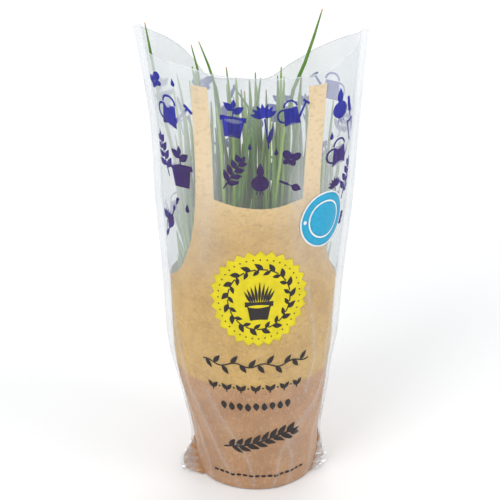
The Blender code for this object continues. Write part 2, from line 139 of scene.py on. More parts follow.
def near_path(degrees, height, path):
    """The distance in metres from each place of the flat film to a path of (degrees, height)."""
    x, y = degrees * METRES_A_DEGREE, height
    nearest = np.full(np.shape(x), 9.0)
    for (a, low), (b, high) in zip(path, path[1:]):
        ax, bx = a * METRES_A_DEGREE, b * METRES_A_DEGREE
        dx, dy = bx - ax, high - low
        share = np.clip(((x - ax) * dx + (y - low) * dy) / (dx * dx + dy * dy), 0, 1)
        nearest = np.minimum(nearest, np.hypot(x - ax - share * dx, y - low - share * dy))
    return nearest


# Creases of the film as (path, half width, outward height), in degrees and metres
CREASES = [
    ([(-80, 0.185), (-67, 0.150), (-57, 0.120), (-51, 0.092), (-43, 0.064), (-33, 0.034), (-15, 0.001)],
     0.0042, 0.0024),
    ([(-82, 0.150), (-72, 0.112), (-66, 0.080), (-62, 0.050), (-66, 0.015)], 0.0042, 0.0020),
    ([(-62, 0.060), (-50, 0.036), (-44, 0.004)], 0.0040, 0.0014),
    ([(86, 0.124), (68, 0.104), (54, 0.084), (36, 0.064), (22, 0.036), (15, 0.002)], 0.0044, 0.0022),
    ([(85, 0.100), (70, 0.075), (58, 0.040), (54, 0.004)], 0.0042, 0.0018),
    ([(80, 0.175), (70, 0.150), (62, 0.128), (64, 0.106)], 0.0044, 0.0015),
    ([(38, 0.185), (45, 0.150), (49, 0.120), (42, 0.094)], 0.0046, 0.0012),
    ([(-36, 0.100), (-22, 0.064), (-6, 0.030), (-2, 0.004)], 0.0050, 0.0010),
    ([(-6, 0.090), (6, 0.058), (12, 0.022)], 0.0052, 0.0009),
    ([(28, 0.050), (34, 0.024), (30, 0.002)], 0.0040, 0.0012),
    ([(-78, 0.350), (-74, 0.290), (-76, 0.230), (-72, 0.190)], 0.0034, 0.0012),
    ([(76, 0.352), (72, 0.300), (74, 0.250), (68, 0.205)], 0.0034, 0.0012),
    ([(-58, 0.352), (-60, 0.300), (-56, 0.240)], 0.0040, 0.0008),
    ([(8, 0.345), (4, 0.300), (10, 0.262)], 0.0040, 0.0007),
    ([(150, 0.120), (130, 0.085), (120, 0.040), (126, 0.006)], 0.0042, 0.0020),
    ([(-150, 0.125), (-136, 0.088), (-122, 0.050), (-128, 0.010)], 0.0042, 0.0020),
    ([(178, 0.095), (164, 0.060), (158, 0.015)], 0.0046, 0.0016),
]
RIPPLE_SEED = 5
RIPPLES = 16
RIPPLE_TURNS = (5, 7, 9, 11, 14, 17)
RIPPLE_HEIGHTS = (0.10, 0.32)
CRUMPLES = 11
CRUMPLE_TURNS = (4, 5, 6, 7, 9)
CRUMPLE_HEIGHTS = (0.055, 0.150)
# How far each stands out where the film is slack above the pot, slack below its rim, and anywhere
RIPPLE_SIZES = (0.00075, 0.00080, 0.00012)
CRUMPLE_SIZES = (0.00028, 0.00085, 0.00022)
# Kept free between the film and the depth limit, for the print on it
PRINT_ROOM = 0.0005


def ripples(degrees, height):
    """Soft upright waves of the loose film, the same on every run."""
    draw = random.Random(RIPPLE_SEED)
    total = np.zeros(np.shape(degrees))
    for _ in range(RIPPLES):
        turns = draw.choice(RIPPLE_TURNS)
        tall = draw.uniform(*RIPPLE_HEIGHTS) * draw.choice((-1, 1))
        start = draw.uniform(0, 2 * math.pi)
        wave = np.radians(degrees) * turns + height / tall * 2 * math.pi + start
        total += np.sin(wave) / turns
    return total


def crumples(degrees, height):
    """Flat facets with sharp edges, as of crumpled film: triangle waves that cross each other."""
    draw = random.Random(RIPPLE_SEED + 1)
    total = np.zeros(np.broadcast(degrees, height).shape)
    for _ in range(CRUMPLES):
        turns = draw.choice(CRUMPLE_TURNS)
        tall = draw.uniform(*CRUMPLE_HEIGHTS) * draw.choice((-1, 1))
        phase = np.asarray(degrees) / 360 * turns + height / tall + draw.random()
        total += np.abs(phase % 1 - 0.5) * 4 - 1
    return total / math.sqrt(CRUMPLES)


def folds(degrees, height):
    """How far the film stands out of its plain form."""
    degrees = (np.asarray(degrees, float) + 180) % 360 - 180
    height = np.asarray(height, float)
    out = np.zeros(np.broadcast(degrees, height).shape)
    for path, half_width, lift in CREASES:
        near = near_path(degrees, height, path)
        out += lift * np.exp(-near / half_width)
    slack = (np.clip((height - 0.125) / 0.12, 0, 1), np.clip((0.095 - height) / 0.03, 0, 1), 1.0)
    out += ripples(degrees, height) * sum(size * share for size, share in zip(RIPPLE_SIZES, slack))
    out += crumples(degrees, height) * sum(size * share for size, share in zip(CRUMPLE_SIZES, slack))
    at_seam = 1 - np.abs(np.sin(np.radians(degrees))) ** 14
    return out * at_seam * np.clip(height / 0.006, 0, 1)


def sleeve_points(degrees, height, lift=0.0):
    """Points of the creased film's outer face, lifted off it by so many metres."""
    degrees, height = np.broadcast_arrays(np.asarray(degrees, float), np.asarray(height, float))
    angle = np.radians(degrees)
    stand = folds(degrees, height)
    half_width = along(SLEEVE_HALF_WIDTH, height) + stand + lift
    half_depth = np.minimum(along(SLEEVE_HALF_DEPTH, height) + stand, DEPTH_LIMIT - PRINT_ROOM) + lift
    depth = np.abs(np.cos(angle)) ** along(SLEEVE_POINT, height)
    x = along(SLEEVE_LEAN, height) + half_width * np.sin(angle)
    y = -np.copysign(half_depth * depth, np.cos(angle))
    return np.stack([x, y, height], axis=-1)


# Mesh helpers


WELD = 1e-6


def piece_of(name, points, faces, material, smooth=True):
    """A new object in the scene from points and faces."""
    mesh = bpy.data.meshes.new(name)
    faces = [[int(corner) for corner in face] for face in faces]
    mesh.from_pydata(np.asarray(points).reshape(-1, 3).tolist(), [], faces)
    mesh.materials.append(material)
    if smooth:
        mesh.shade_smooth()
    item = bpy.data.objects.new(name, mesh)
    bpy.context.scene.collection.objects.link(item)
    return item


@contextmanager
def opened(item):
    """The object's mesh for editing, written back at the end."""
    shape = bmesh.new()
    shape.from_mesh(item.data)
    yield shape
    shape.to_mesh(item.data)
    shape.free()


def tidy_normals(item):
    """Merges doubles and turns the faces outwards."""
    with opened(item) as shape:
        bmesh.ops.remove_doubles(shape, verts=shape.verts, dist=WELD)
        bmesh.ops.recalc_face_normals(shape, faces=shape.faces)


def thicken(item, wall, offset=-1.0):
    """Gives a sheet its thickness, and makes the result plain."""
    solid = item.modifiers.new("wall", "SOLIDIFY")
    solid.thickness = wall
    solid.offset = offset
    flatten(item)


def flatten(item):
    """Applies the object's modifiers."""
    graph = bpy.context.evaluated_depsgraph_get()
    mesh = bpy.data.meshes.new_from_object(item.evaluated_get(graph))
    item.modifiers.clear()
    item.data = mesh
    item.data.name = item.name


def joined(name, items):
    """One object that holds the meshes of all these."""
    shape = bmesh.new()
    for item in items:
        shape.from_mesh(item.data)
    mesh = bpy.data.meshes.new(name)
    shape.to_mesh(mesh)
    shape.free()
    for material in items[0].data.materials:
        mesh.materials.append(material)
    for item in items:
        bpy.data.objects.remove(item)
    whole = bpy.data.objects.new(name, mesh)
    bpy.context.scene.collection.objects.link(whole)
    return whole


def grid_faces(rows, columns, closed):
    """Quads of a grid of points stored row by row."""
    faces = []
    for row in range(rows - 1):
        for k in range(columns if closed else columns - 1):
            after = (k + 1) % columns
            a, b = row * columns, (row + 1) * columns
            faces.append((a + k, a + after, b + after, b + k))
    return faces


def ring_points(radius, height, sides):
    """Points round the pot's axis."""
    turn = np.linspace(0, 2 * math.pi, sides, endpoint=False)
    return np.stack([radius * np.cos(turn), radius * np.sin(turn), np.full(sides, height)], axis=-1)


def turned(name, profile, sides, material):
    """A solid of revolution whose profile starts and ends on the axis."""
    rings = [ring_points(*spot, sides) for spot in profile[1:-1]]
    points = np.concatenate([*rings, [[0, 0, profile[0][1]]], [[0, 0, profile[-1][1]]]])
    faces = grid_faces(len(rings), sides, True)
    first, last = len(points) - 2, len(points) - 1
    top = (len(rings) - 1) * sides
    faces += [(first, (k + 1) % sides, k) for k in range(sides)]
    faces += [(last, top + k, top + (k + 1) % sides) for k in range(sides)]
    item = piece_of(name, points, faces, material)
    tidy_normals(item)
    return item


# Shader helpers


class Value:
    """A socket of a material, with arithmetic that adds Math nodes."""

    def __init__(self, shades, socket):
        self.shades, self.socket = shades, socket

    def _math(self, operation, *values):
        return self.shades.node("ShaderNodeMath", {"operation": operation}, list(values)).out()

    def __add__(self, other):
        return self._math("ADD", self, other)

    def __radd__(self, other):
        return self._math("ADD", other, self)

    def __sub__(self, other):
        return self._math("SUBTRACT", self, other)

    def __rsub__(self, other):
        return self._math("SUBTRACT", other, self)

    def __mul__(self, other):
        return self._math("MULTIPLY", self, other)

    def __rmul__(self, other):
        return self._math("MULTIPLY", other, self)

    def __pow__(self, other):
        return self._math("POWER", self, other)

    def smooth(self, low, high, start=0.0, end=1.0):
        """From start to end as the value goes from low to high."""
        kind = {"interpolation_type": "SMOOTHSTEP"}
        return self.shades.node("ShaderNodeMapRange", kind, [self, low, high, start, end]).out()


class Node:
    """A node of a material, whose outputs are read as values."""

    def __init__(self, shades, node):
        self.shades, self.node = shades, node

    def out(self, name=None):
        live = [socket for socket in self.node.outputs if socket.enabled]
        return Value(self.shades, self.node.outputs[name] if name else live[0])


class Shades:
    """A new material whose nodes are added by one method."""

    def __init__(self, name):
        self.material = bpy.data.materials.new(name)
        self.material.use_nodes = True
        self.tree = self.material.node_tree
        self.tree.nodes.clear()
        self.output = self.node("ShaderNodeOutputMaterial")

    def node(self, kind, settings=None, values=()):
        made = self.tree.nodes.new(kind)
        for key, value in (settings or {}).items():
            setattr(made, key, value)
        pairs = values.items() if isinstance(values, dict) else enumerate(values)
        for key, value in pairs:
            self.feed(made.inputs[key], value)
        return Node(self, made)

    def feed(self, socket, value):
        if isinstance(value, Node):
            value = value.out()
        if isinstance(value, Value):
            self.tree.links.new(value.socket, socket)
        elif value is not None:
            socket.default_value = value

    def mix(self, factor, first, second):
        """A blend of two colours."""
        made = self.tree.nodes.new("ShaderNodeMix")
        made.data_type = "RGBA"
        for socket, value in zip((made.inputs[0], made.inputs[6], made.inputs[7]), (factor, first, second)):
            self.feed(socket, (*value, 1.0) if isinstance(value, tuple) else value)
        return Value(self, made.outputs[2])

    def stored(self, name):
        """A number that the mesh holds for each of its points."""
        return self.node("ShaderNodeAttribute", {"attribute_name": name}).out("Fac")

    def place(self):
        """Object coordinates."""
        return self.node("ShaderNodeTexCoord").out("Object")

    def noise(self, scale, detail=3.0, stretch=(1, 1, 1), roughness=0.5):
        where = self.node("ShaderNodeMapping", None, {"Vector": self.place(), "Scale": stretch})
        settings = {"Vector": where, "Scale": scale, "Detail": detail, "Roughness": roughness}
        return self.node("ShaderNodeTexNoise", None, settings).out("Fac")

    def height(self):
        return self.node("ShaderNodeSeparateXYZ", None, [self.place()]).out("Z")

    def bump(self, value, strength, distance):
        settings = {"Strength": strength, "Distance": distance, "Height": value}
        return self.node("ShaderNodeBump", None, settings).out()

    def principled(self, **sockets):
        made = self.tree.nodes.new("ShaderNodeBsdfPrincipled")
        for key, value in sockets.items():
            name = key.replace("_", " ")
            if name.endswith("Color") and isinstance(value, tuple):
                value = (*value, 1.0)
            self.feed(made.inputs[name], value)
        return Node(self, made)

    def done(self, shader):
        self.feed(self.output.node.inputs["Surface"], shader)
        return self.material


# Materials


def film_material():
    """Clear film: it greys what is behind it, hazes it where it hangs free, mirrors the lights, and carries
    painted highlights along its creases and painted sheen in faint upright streaks.
    """
    s = Shades("clear film")
    spot = s.node("ShaderNodeSeparateXYZ", None, [s.place()])
    x, z = spot.out("X"), spot.out("Z")
    cloud = s.noise(14.0, 3.0, (1, 1, 0.30)).smooth(0.38, 0.72, 0.55, 1.35)
    # Painted sheen: faint upright streaks of whiter film skin, which also reflects a little more there.
    streak = s.noise(42.0, 2.0, (1, 1, 0.08)).smooth(0.60, 0.80)
    off_middle = ((x - 0.003) * (x - 0.003)).smooth(0.00012, 0.00110)
    high = z.smooth(0.300, 0.345)
    free = 1.0 - (1.0 - off_middle) * (1.0 - high)
    low = 1.0 - z.smooth(0.17, 0.22)
    laminated = s.stored("paper") * (0.50 + 0.42 * low)
    haze = (0.078 + 0.200 * free) * cloud * (1.0 - laminated)
    grazing = s.node("ShaderNodeLayerWeight", None, {"Blend": 0.30}).out("Facing")
    # The stored edge value whitens the mouth, seams and ear edges, and along the creases it is a painted
    # highlight.
    share = 0.020 + haze + 0.06 * streak + 0.22 * grazing ** 2.6 + 0.25 * s.stored("edge")
    clear = s.node("ShaderNodeBsdfTransparent", None, {"Color": (0.958, 0.964, 0.973, 1.0)})
    dents = s.bump(s.noise(70.0, 3.0, (1, 1, 0.4)), 0.14, 0.002)
    skin = s.principled(Base_Color=(0.86, 0.88, 0.89), Metallic=0.25, Roughness=0.14,
                        Specular_IOR_Level=0.9, Normal=dents)
    return s.done(s.node("ShaderNodeMixShader", None, [share, clear, skin]))


def paper_material():
    """Kraft paper: warm, mottled, full of short fibres; painted shade makes it darker and redder where the pot
    stands behind it, and painted light makes its upper part paler.
    """
    s = Shades("kraft paper")
    mottle = s.noise(48.0, 5.0, (1, 1, 1), 0.6).smooth(0.35, 0.68)
    pale = s.noise(640.0, 5.0, (1, 1, 0.45), 0.7)
    dark = s.noise(430.0, 5.0, (0.5, 0.5, 1), 0.7)
    fleck = s.noise(210.0, 4.0, (1, 1, 1), 0.75)
    height = s.height()
    # Painted light and shade: lighter above the pot, darker and redder over it, where the pot behind blocks
    # the light through the paper.
    lit_above_pot = s.mix(mottle, (0.700, 0.430, 0.122), (0.580, 0.342, 0.090))
    potted = s.mix(mottle, (0.560, 0.290, 0.126), (0.465, 0.228, 0.094))
    colour = s.mix(height.smooth(POT_LIP - 0.004, POT_LIP + 0.002), potted, lit_above_pot)
    # Painted light: the upper bib and straps turn paler.
    colour = s.mix(height.smooth(0.215, 0.290), colour, (0.960, 0.700, 0.350))
    colour = s.mix(pale.smooth(0.52, 0.66, 0.0, 0.26), colour, (0.920, 0.720, 0.460))
    colour = s.mix(dark.smooth(0.52, 0.64, 0.0, 0.34), colour, (0.340, 0.195, 0.080))
    colour = s.mix(fleck.smooth(0.66, 0.72, 0.0, 0.60), colour, (0.260, 0.140, 0.060))
    return s.done(s.principled(Base_Color=colour, Roughness=0.60, Specular_IOR_Level=0.35,
                               Normal=s.bump(pale * 0.6 + dark * 0.4, 0.30, 0.0006)))


# Inks as (name, colour, what the dye lets through, share of solid colour, roughness), and for the
# print the colour of its lower drawings
PRINT_INK = ("violet blue ink", (0.060, 0.070, 0.440), (0.26, 0.27, 0.82), 0.40, 0.35, (0.130, 0.068, 0.165))
DARK_INK = ("dark ink", (0.050, 0.040, 0.038), (0.30, 0.28, 0.27), 0.62, 0.45)
SEAL_INK = ("yellow ink", (0.860, 0.720, 0.004), (0.95, 0.88, 0.10), 0.85, 0.42)


def ink_material(name, colour, filtered, solid, roughness, low_colour=None):
    """Printing ink: part dye that filters what is behind it, part solid colour."""
    s = Shades(name)
    dye = s.node("ShaderNodeBsdfTransparent", None, {"Color": (*filtered, 1.0)})
    wear = s.noise(140.0, 3.0)
    tone = s.mix(s.height().smooth(0.285, 0.325), low_colour or colour, colour)
    tone = s.mix(wear.smooth(0.3, 0.7, 0.0, 0.25), tone, tuple(0.5 * c for c in colour))
    skin = s.principled(Base_Color=tone, Roughness=roughness, Specular_IOR_Level=0.5)
    return s.done(s.node("ShaderNodeMixShader", None, [solid, dye, skin]))


def flat_material(name, colour, roughness):
    """An opaque printed or moulded finish with a faint grain."""
    s = Shades(name)
    grain = s.noise(300.0, 4.0)
    tone = s.mix(grain.smooth(0.3, 0.7), colour, tuple(0.88 * c for c in colour))
    return s.done(s.principled(Base_Color=tone, Roughness=roughness, Normal=s.bump(grain, 0.1, 0.0004)))


def leaf_material():
    """Chive leaf: pale at the foot, fresh green above, some with dry tips."""
    s = Shades("chive leaf")
    share, tone, dry = s.stored("share"), s.stored("tone"), s.stored("dry")
    streak = s.noise(420.0, 3.0, (1, 1, 0.06))
    green = s.mix(tone, (0.062, 0.190, 0.012), (0.330, 0.540, 0.070))
    green = s.mix(streak.smooth(0.35, 0.70, 0.0, 0.30) * (0.3 + 0.7 * tone), green, (0.450, 0.620, 0.190))
    foot = share.smooth(0.02, 0.16)
    colour = s.mix(foot, (0.620, 0.660, 0.400), green)
    colour = s.mix(share.smooth(0.984, 0.998) * dry, colour, (0.560, 0.290, 0.050))
    return s.done(s.principled(Base_Color=colour, Roughness=0.42, Specular_IOR_Level=0.45,
                               Normal=s.bump(streak, 0.18, 0.0004)))


def soil_material():
    s = Shades("potting soil")
    lump = s.noise(230.0, 6.0, (1, 1, 1), 0.7)
    colour = s.mix(lump.smooth(0.3, 0.7), (0.016, 0.010, 0.006), (0.080, 0.048, 0.028))
    return s.done(s.principled(Base_Color=colour, Roughness=0.92, Normal=s.bump(lump, 0.8, 0.002)))


def pot_material():
    s = Shades("terracotta plastic")
    cloud = s.noise(40.0, 4.0)
    grain = s.noise(900.0, 2.0)
    colour = s.mix(cloud.smooth(0.3, 0.7), (0.420, 0.135, 0.055), (0.350, 0.105, 0.045))
    return s.done(s.principled(Base_Color=colour, Roughness=0.48, Normal=s.bump(grain, 0.15, 0.0003)))


# Film, paper and pot


FILM_COLUMNS = 300
FILM_ROWS = 150
FLOOR_RINGS = (0.9, 0.72, 0.5, 0.28, 0.1)
RIM_BAND = 0.0006
# Width, strength and least crease height of the painted highlight lines along the creases
CREASE_LINE = 0.0017
CREASE_HIGHLIGHT = 0.36
HIGHLIGHTED_LIFT = 0.0009
FIN_ROWS = 160


def store(item, name, values):
    """Stores a number for each point of a mesh, for its material."""
    stored = item.data.attributes.new(name, "FLOAT", "POINT")
    stored.data.foreach_set("value", np.ravel(values).astype(float))


def over_paper(degrees, height):
    """1 where the film is laminated to the paper, and 0 where it hangs free."""
    corners = [(-180, PAPER_BACK_TOP), *APRON_EDGE, (180, PAPER_BACK_TOP), (180, -1), (-180, -1)]
    inside = np.zeros(np.broadcast(degrees, height).shape, bool)
    for (a, low), (b, high) in zip(corners, [*corners[1:], corners[0]]):
        crosses = (low > height) != (high > height)
        at = a + (height - low) / ((high - low) or 1.0) * (b - a)
        inside ^= crosses & (degrees < at)
    return inside.astype(float)


def build_film(material):
    degrees = np.linspace(-180, 180, FILM_COLUMNS, endpoint=False)
    rim = rim_height(degrees)[None, :]
    share = np.linspace(0, 1, FILM_ROWS)[:, None]
    height = np.concatenate([share * (rim - 2 * RIM_BAND), rim - RIM_BAND, rim])
    wall = sleeve_points(np.broadcast_to(degrees, height.shape), height)
    rings = [wall[0] * (ring, ring, 1) for ring in FLOOR_RINGS[::-1]]
    points = np.concatenate([*rings, wall.reshape(-1, 3), [[0, 0, 0]]])
    rows = len(height) + len(FLOOR_RINGS)
    faces = grid_faces(rows, FILM_COLUMNS, True)
    centre = len(points) - 1
    faces += [(centre, (k + 1) % FILM_COLUMNS, k) for k in range(FILM_COLUMNS)]
    bag = piece_of("bag", points, faces, material)
    marks = np.zeros(len(points))
    marks[(rows - 2) * FILM_COLUMNS:rows * FILM_COLUMNS] = 1.0
    # Painted highlights: whiter lines of film skin along the higher creases.
    crease_highlight = sum(np.exp(-((near_path(degrees[None, :] + 0 * height, height, path) / CREASE_LINE) ** 2))
               for path, _, lift in CREASES if lift > HIGHLIGHTED_LIFT)
    marks[len(FLOOR_RINGS) * FILM_COLUMNS:-1] += (np.clip(crease_highlight, 0, 1) * CREASE_HIGHLIGHT).ravel()
    store(bag, "edge", marks)
    paper = np.ones(len(points))
    paper[len(FLOOR_RINGS) * FILM_COLUMNS:-1] = over_paper(degrees[None, :], height).ravel()
    store(bag, "paper", paper)
    tidy_normals(bag)
    thicken(bag, FILM_WALL)
    fins = []
    for side, profile in ((-1, LEFT_FIN), (1, RIGHT_FIN)):
        rows = np.linspace(EAR_TOP, profile[-1][0], FIN_ROWS)
        fins.append(build_fin(side, rows, along(profile, rows), FILM_WALL, material))
    tips = [build_ear(*ear, EAR_FILM, FILM_WALL, material) for ear in EARS]
    film = joined("clear_film", [bag, *fins, *tips])
    film.data.shade_smooth()
    film.data.set_sharp_from_angle(angle=math.radians(40))
    return film


FIN_ACROSS = (0.0, 0.12, 0.30, 0.55, 0.86, 1.0)
FIN_MARKS = (1.0, 0.9, 0.1, 0.1, 0.5, 1.0)
FIN_WAVE = 0.0006
FIN_LAP = 0.0002


def build_fin(side, height, width, wall, material):
    """The welded strip along a seam: two sheets crimped together, gently waved."""
    seam = sleeve_points(np.full(len(height), 90.0 * side), height)
    points, marks = [], []
    for row, level in enumerate(height):
        sway = FIN_WAVE * (math.sin(level * 95) + 0.6 * math.sin(level * 230 + side))
        for reach, mark in zip(FIN_ACROSS, FIN_MARKS):
            points.append((seam[row, 0] + side * (width[row] * reach - FIN_LAP), sway * reach, level))
            marks.append(mark)
    fin = piece_of("fin", points, grid_faces(len(height), len(FIN_ACROSS), False), material)
    store(fin, "edge", marks)
    thicken(fin, 2 * wall, 0.0)
    return fin


# The gusset's bottom corners as (side, degrees each reaches round to, outer edge in metres)
EARS = [
    (-1, -60, [(-0.0480, 0.000, 0.0215), (-0.0512, -0.003, 0.0150), (-0.0568, -0.0085, 0.0068),
               (-0.0560, -0.014, 0.0020), (-0.0525, -0.020, 0.0008), (-0.0400, -0.0262, 0.0008)]),
    (1, 64, [(0.0545, 0.000, 0.0340), (0.0575, -0.002, 0.0240), (0.0598, -0.004, 0.0130),
             (0.0610, -0.0065, 0.0060), (0.0575, -0.013, 0.0016), (0.0490, -0.0215, 0.0008)]),
]
EAR_FILM = 0.0030
EAR_ROWS = 40
EAR_COLUMNS = 9
EAR_LOW = 0.0008
PLEATS = 5.5
PLEAT_DEPTH = 0.0012
PLEAT_RISE = 0.0010


def build_ear(side, foot_degrees, outer, spare, wall, material):
    """A gusset corner folded flat and pleated, with so much spare width past its outer edge."""
    t = np.linspace(0, 1, EAR_ROWS)
    steps = np.linspace(0, 1, len(outer))
    rim = np.stack([along(list(zip(steps, [p[i] for p in outer])), t) for i in range(3)], axis=-1)
    swell = np.sin(np.pi * t ** 1.3)
    rim[:, 0] += side * spare * swell
    rim[:, 1] -= 0.6 * spare * swell
    top = outer[0][2]
    degrees = 90.0 * side + (foot_degrees - 90.0 * side) * t**1.5
    root = sleeve_points(degrees, top * (1 - t) ** 1.2 + EAR_LOW, -0.0003)
    reach = np.linspace(0, 1, EAR_COLUMNS)[None, :]
    points = root[:, None] * (1 - reach[..., None]) + rim[:, None] * reach[..., None]
    pleat = np.abs((PLEATS * t[:, None] + 0.8 * reach) % 1 - 0.5) * 4 - 1
    span = np.sin(np.pi * reach) ** 0.7 * np.sin(np.pi * t)[:, None]
    points[..., 1] -= span * (PLEAT_DEPTH * pleat + PLEAT_DEPTH)
    points[..., 2] = np.maximum(points[..., 2] + PLEAT_RISE * span * pleat, PAPER_FOOT)
    ear = piece_of("ear", points, grid_faces(EAR_ROWS, EAR_COLUMNS, False), material)
    store(ear, "edge", np.where(reach + 0 * t[:, None] > 0.99, 1.0, 0.15))
    thicken(ear, 2 * wall, 0.0)
    return ear


def smooth_edge(edge, step):
    """More points along a (degrees, height) edge, so that it curves with the film."""
    finer = []
    for (a, low), (b, high) in zip(edge, edge[1:]):
        parts = max(1, round(math.hypot((b - a) * METRES_A_DEGREE, high - low) / step))
        finer += [(a + (b - a) * k / parts, low + (high - low) * k / parts) for k in range(parts)]
    return [*finer, edge[-1]]


def rounded_edge(edge, sharp):
    """Corner cutting that keeps the ends and the sharp corners."""
    for _ in range(CORNER_CUTS):
        cut = [edge[0]]
        for before, at, after in zip(edge, edge[1:], edge[2:]):
            if at in sharp:
                cut.append(at)
            else:
                cut.append(tuple(at[i] + (before[i] - at[i]) * 0.25 for i in range(2)))
                cut.append(tuple(at[i] + (after[i] - at[i]) * 0.25 for i in range(2)))
        cut.append(edge[-1])
        edge = cut
    return edge


def turns_left(polygon):
    """Whether an outline runs anticlockwise."""
    return sum(a[0] * b[1] - b[0] * a[1] for a, b in zip(polygon, [*polygon[1:], polygon[0]])) > 0


def fill_flat(polygons, step, box):
    """Triangles that fill the union of closed flat polygons in metres, with a grid inside them."""
    points, loops = [], []
    polygons = [polygon if turns_left(polygon) else polygon[::-1] for polygon in polygons]
    for polygon in polygons:
        loops.append(list(range(len(points), len(points) + len(polygon))))
        points += [Vector(point) for point in polygon]
    sides = []
    for polygon in polygons:
        sides += list(zip(polygon, [*polygon[1:], polygon[0]]))
    starts = np.array([a for a, _ in sides])
    spans = np.array([b for _, b in sides]) - starts
    lengths = np.maximum((spans**2).sum(axis=1), 1e-14)
    (left, low), (right, high) = box
    columns = np.arange(left + step / 2, right, step)
    for row in np.arange(low + step / 2, high, step):
        spots = np.stack([columns, np.full(len(columns), row)], axis=-1)
        offset = spots[:, None, :] - starts[None]
        along_side = np.clip((offset * spans).sum(axis=2) / lengths, 0, 1)
        near = np.linalg.norm(offset - along_side[..., None] * spans, axis=2).min(axis=1)
        points += [Vector(spot) for spot in spots[near > step * 0.45]]
    spots, _, faces, _, _, owners = delaunay_2d_cdt(points, [], loops, 1, 1e-8)
    kept = [face for face, owner in zip(faces, owners) if owner]
    used = sorted({spot for face in kept for spot in face})
    order = {old: new for new, old in enumerate(used)}
    return np.array([tuple(spots[k]) for k in used]), [[order[k] for k in face] for face in kept]


def build_paper(material):
    """The apron's front and back in one wrap, with its closed bottom."""
    front = rounded_edge(APRON_EDGE, [APRON_EDGE[k] for k in SHARP_CORNERS])
    left_top, right_top = (-180, PAPER_BACK_TOP), (180, PAPER_BACK_TOP)
    upper = smooth_edge([left_top, *front, right_top], PAPER_EDGE_STEP)
    lower = smooth_edge([right_top, (180, PAPER_FOOT), (-180, PAPER_FOOT), left_top], PAPER_EDGE_STEP)
    flat = [(d * METRES_A_DEGREE, h) for d, h in [*upper[:-1], *lower[:-1]]]
    half = 180 * METRES_A_DEGREE
    spots, faces = fill_flat([flat], PAPER_STEP, ((-half, 0), (half, STRAP_TOP)))
    points = sleeve_points(spots[:, 0] / METRES_A_DEGREE, spots[:, 1], PAPER_LIFT)
    paper = piece_of("apron", points, faces, material)
    tidy_normals(paper)
    with opened(paper) as shape:
        low = [e for e in shape.edges if e.is_boundary and max(v.co.z for v in e.verts) < 2 * PAPER_FOOT]
        bmesh.ops.contextual_create(shape, geom=low)
        bmesh.ops.recalc_face_normals(shape, faces=shape.faces)
    thicken(paper, PAPER_WALL)
    ears = [build_ear(*ear, 0.0, PAPER_WALL, material) for ear in EARS]
    paper = joined("kraft_apron", [paper, *ears])
    paper.data.shade_smooth()
    paper.data.set_sharp_from_angle(angle=math.radians(40))
    return paper


POT_SIDES = 144
POT_FOOT = 0.0018
# Up the outside of the pot, over its lip and down the inside, as (radius, height)
POT_PROFILE = [
    (0, POT_FOOT + 0.0018), (0.0330, POT_FOOT + 0.0018), (0.0350, POT_FOOT + 0.0008), (0.0356, POT_FOOT),
    (0.0400, POT_FOOT), (0.0412, POT_FOOT + 0.0005), (0.0420, POT_FOOT + 0.0018), (0.0443, 0.020),
    (0.0466, 0.038), (0.0491, 0.057), (0.0515, 0.076), (0.0536, 0.0925), (0.0541, 0.0950), (0.0552, 0.0960),
    (0.0574, 0.0968), (0.0584, 0.0974), (0.0588, 0.0984), (0.0588, 0.1046), (0.0585, 0.1055),
    (0.0578, POT_LIP), (0.0568, POT_LIP), (0.0560, 0.1054), (0.0557, 0.1044), (0.0555, 0.0985),
    (0.0540, 0.0968), (0.0530, 0.0950), (0.0500, 0.0700), (0.0455, 0.0350), (0.0410, POT_FOOT + 0.0044),
    (0.0400, POT_FOOT + 0.0034), (0, POT_FOOT + 0.0034),
]


def build_pot(material):
    pot = turned("herb_pot", POT_PROFILE, POT_SIDES, material)
    pot.data.set_sharp_from_angle(angle=math.radians(50))
    return pot


def tuft_places():
    for count, radius in TUFT_RINGS:
        for k in range(count):
            turn = 2 * math.pi * (k + 0.5 * (count == 5)) / count
            yield radius * math.cos(turn), radius * math.sin(turn)


# Leaves


def fanned(x, y, height):
    """Where spots of the soil's disc go at these heights, as the leaves fan out into the sleeve."""
    share = np.clip((height - SOIL_TOP) / (FAN_FULL - SOIL_TOP), 0, 1)
    share = share * share * (3 - 2 * share)
    half_width = FAN_RADIUS + (along(SLEEVE_HALF_WIDTH, height) - LEAF_CLEARANCE - FAN_RADIUS) * share
    half_depth = FAN_RADIUS + (along(SLEEVE_HALF_DEPTH, height) - LEAF_CLEARANCE - FAN_RADIUS) * share
    return np.stack([along(SLEEVE_LEAN, height) * share + half_width * x / FAN_RADIUS,
                     half_depth * y / FAN_RADIUS, height], axis=-1)


LEAVES_A_TUFT = 28
LEAF_POINTS = 17
LEAF_SIDES = 7
LEAF_SEED = 23
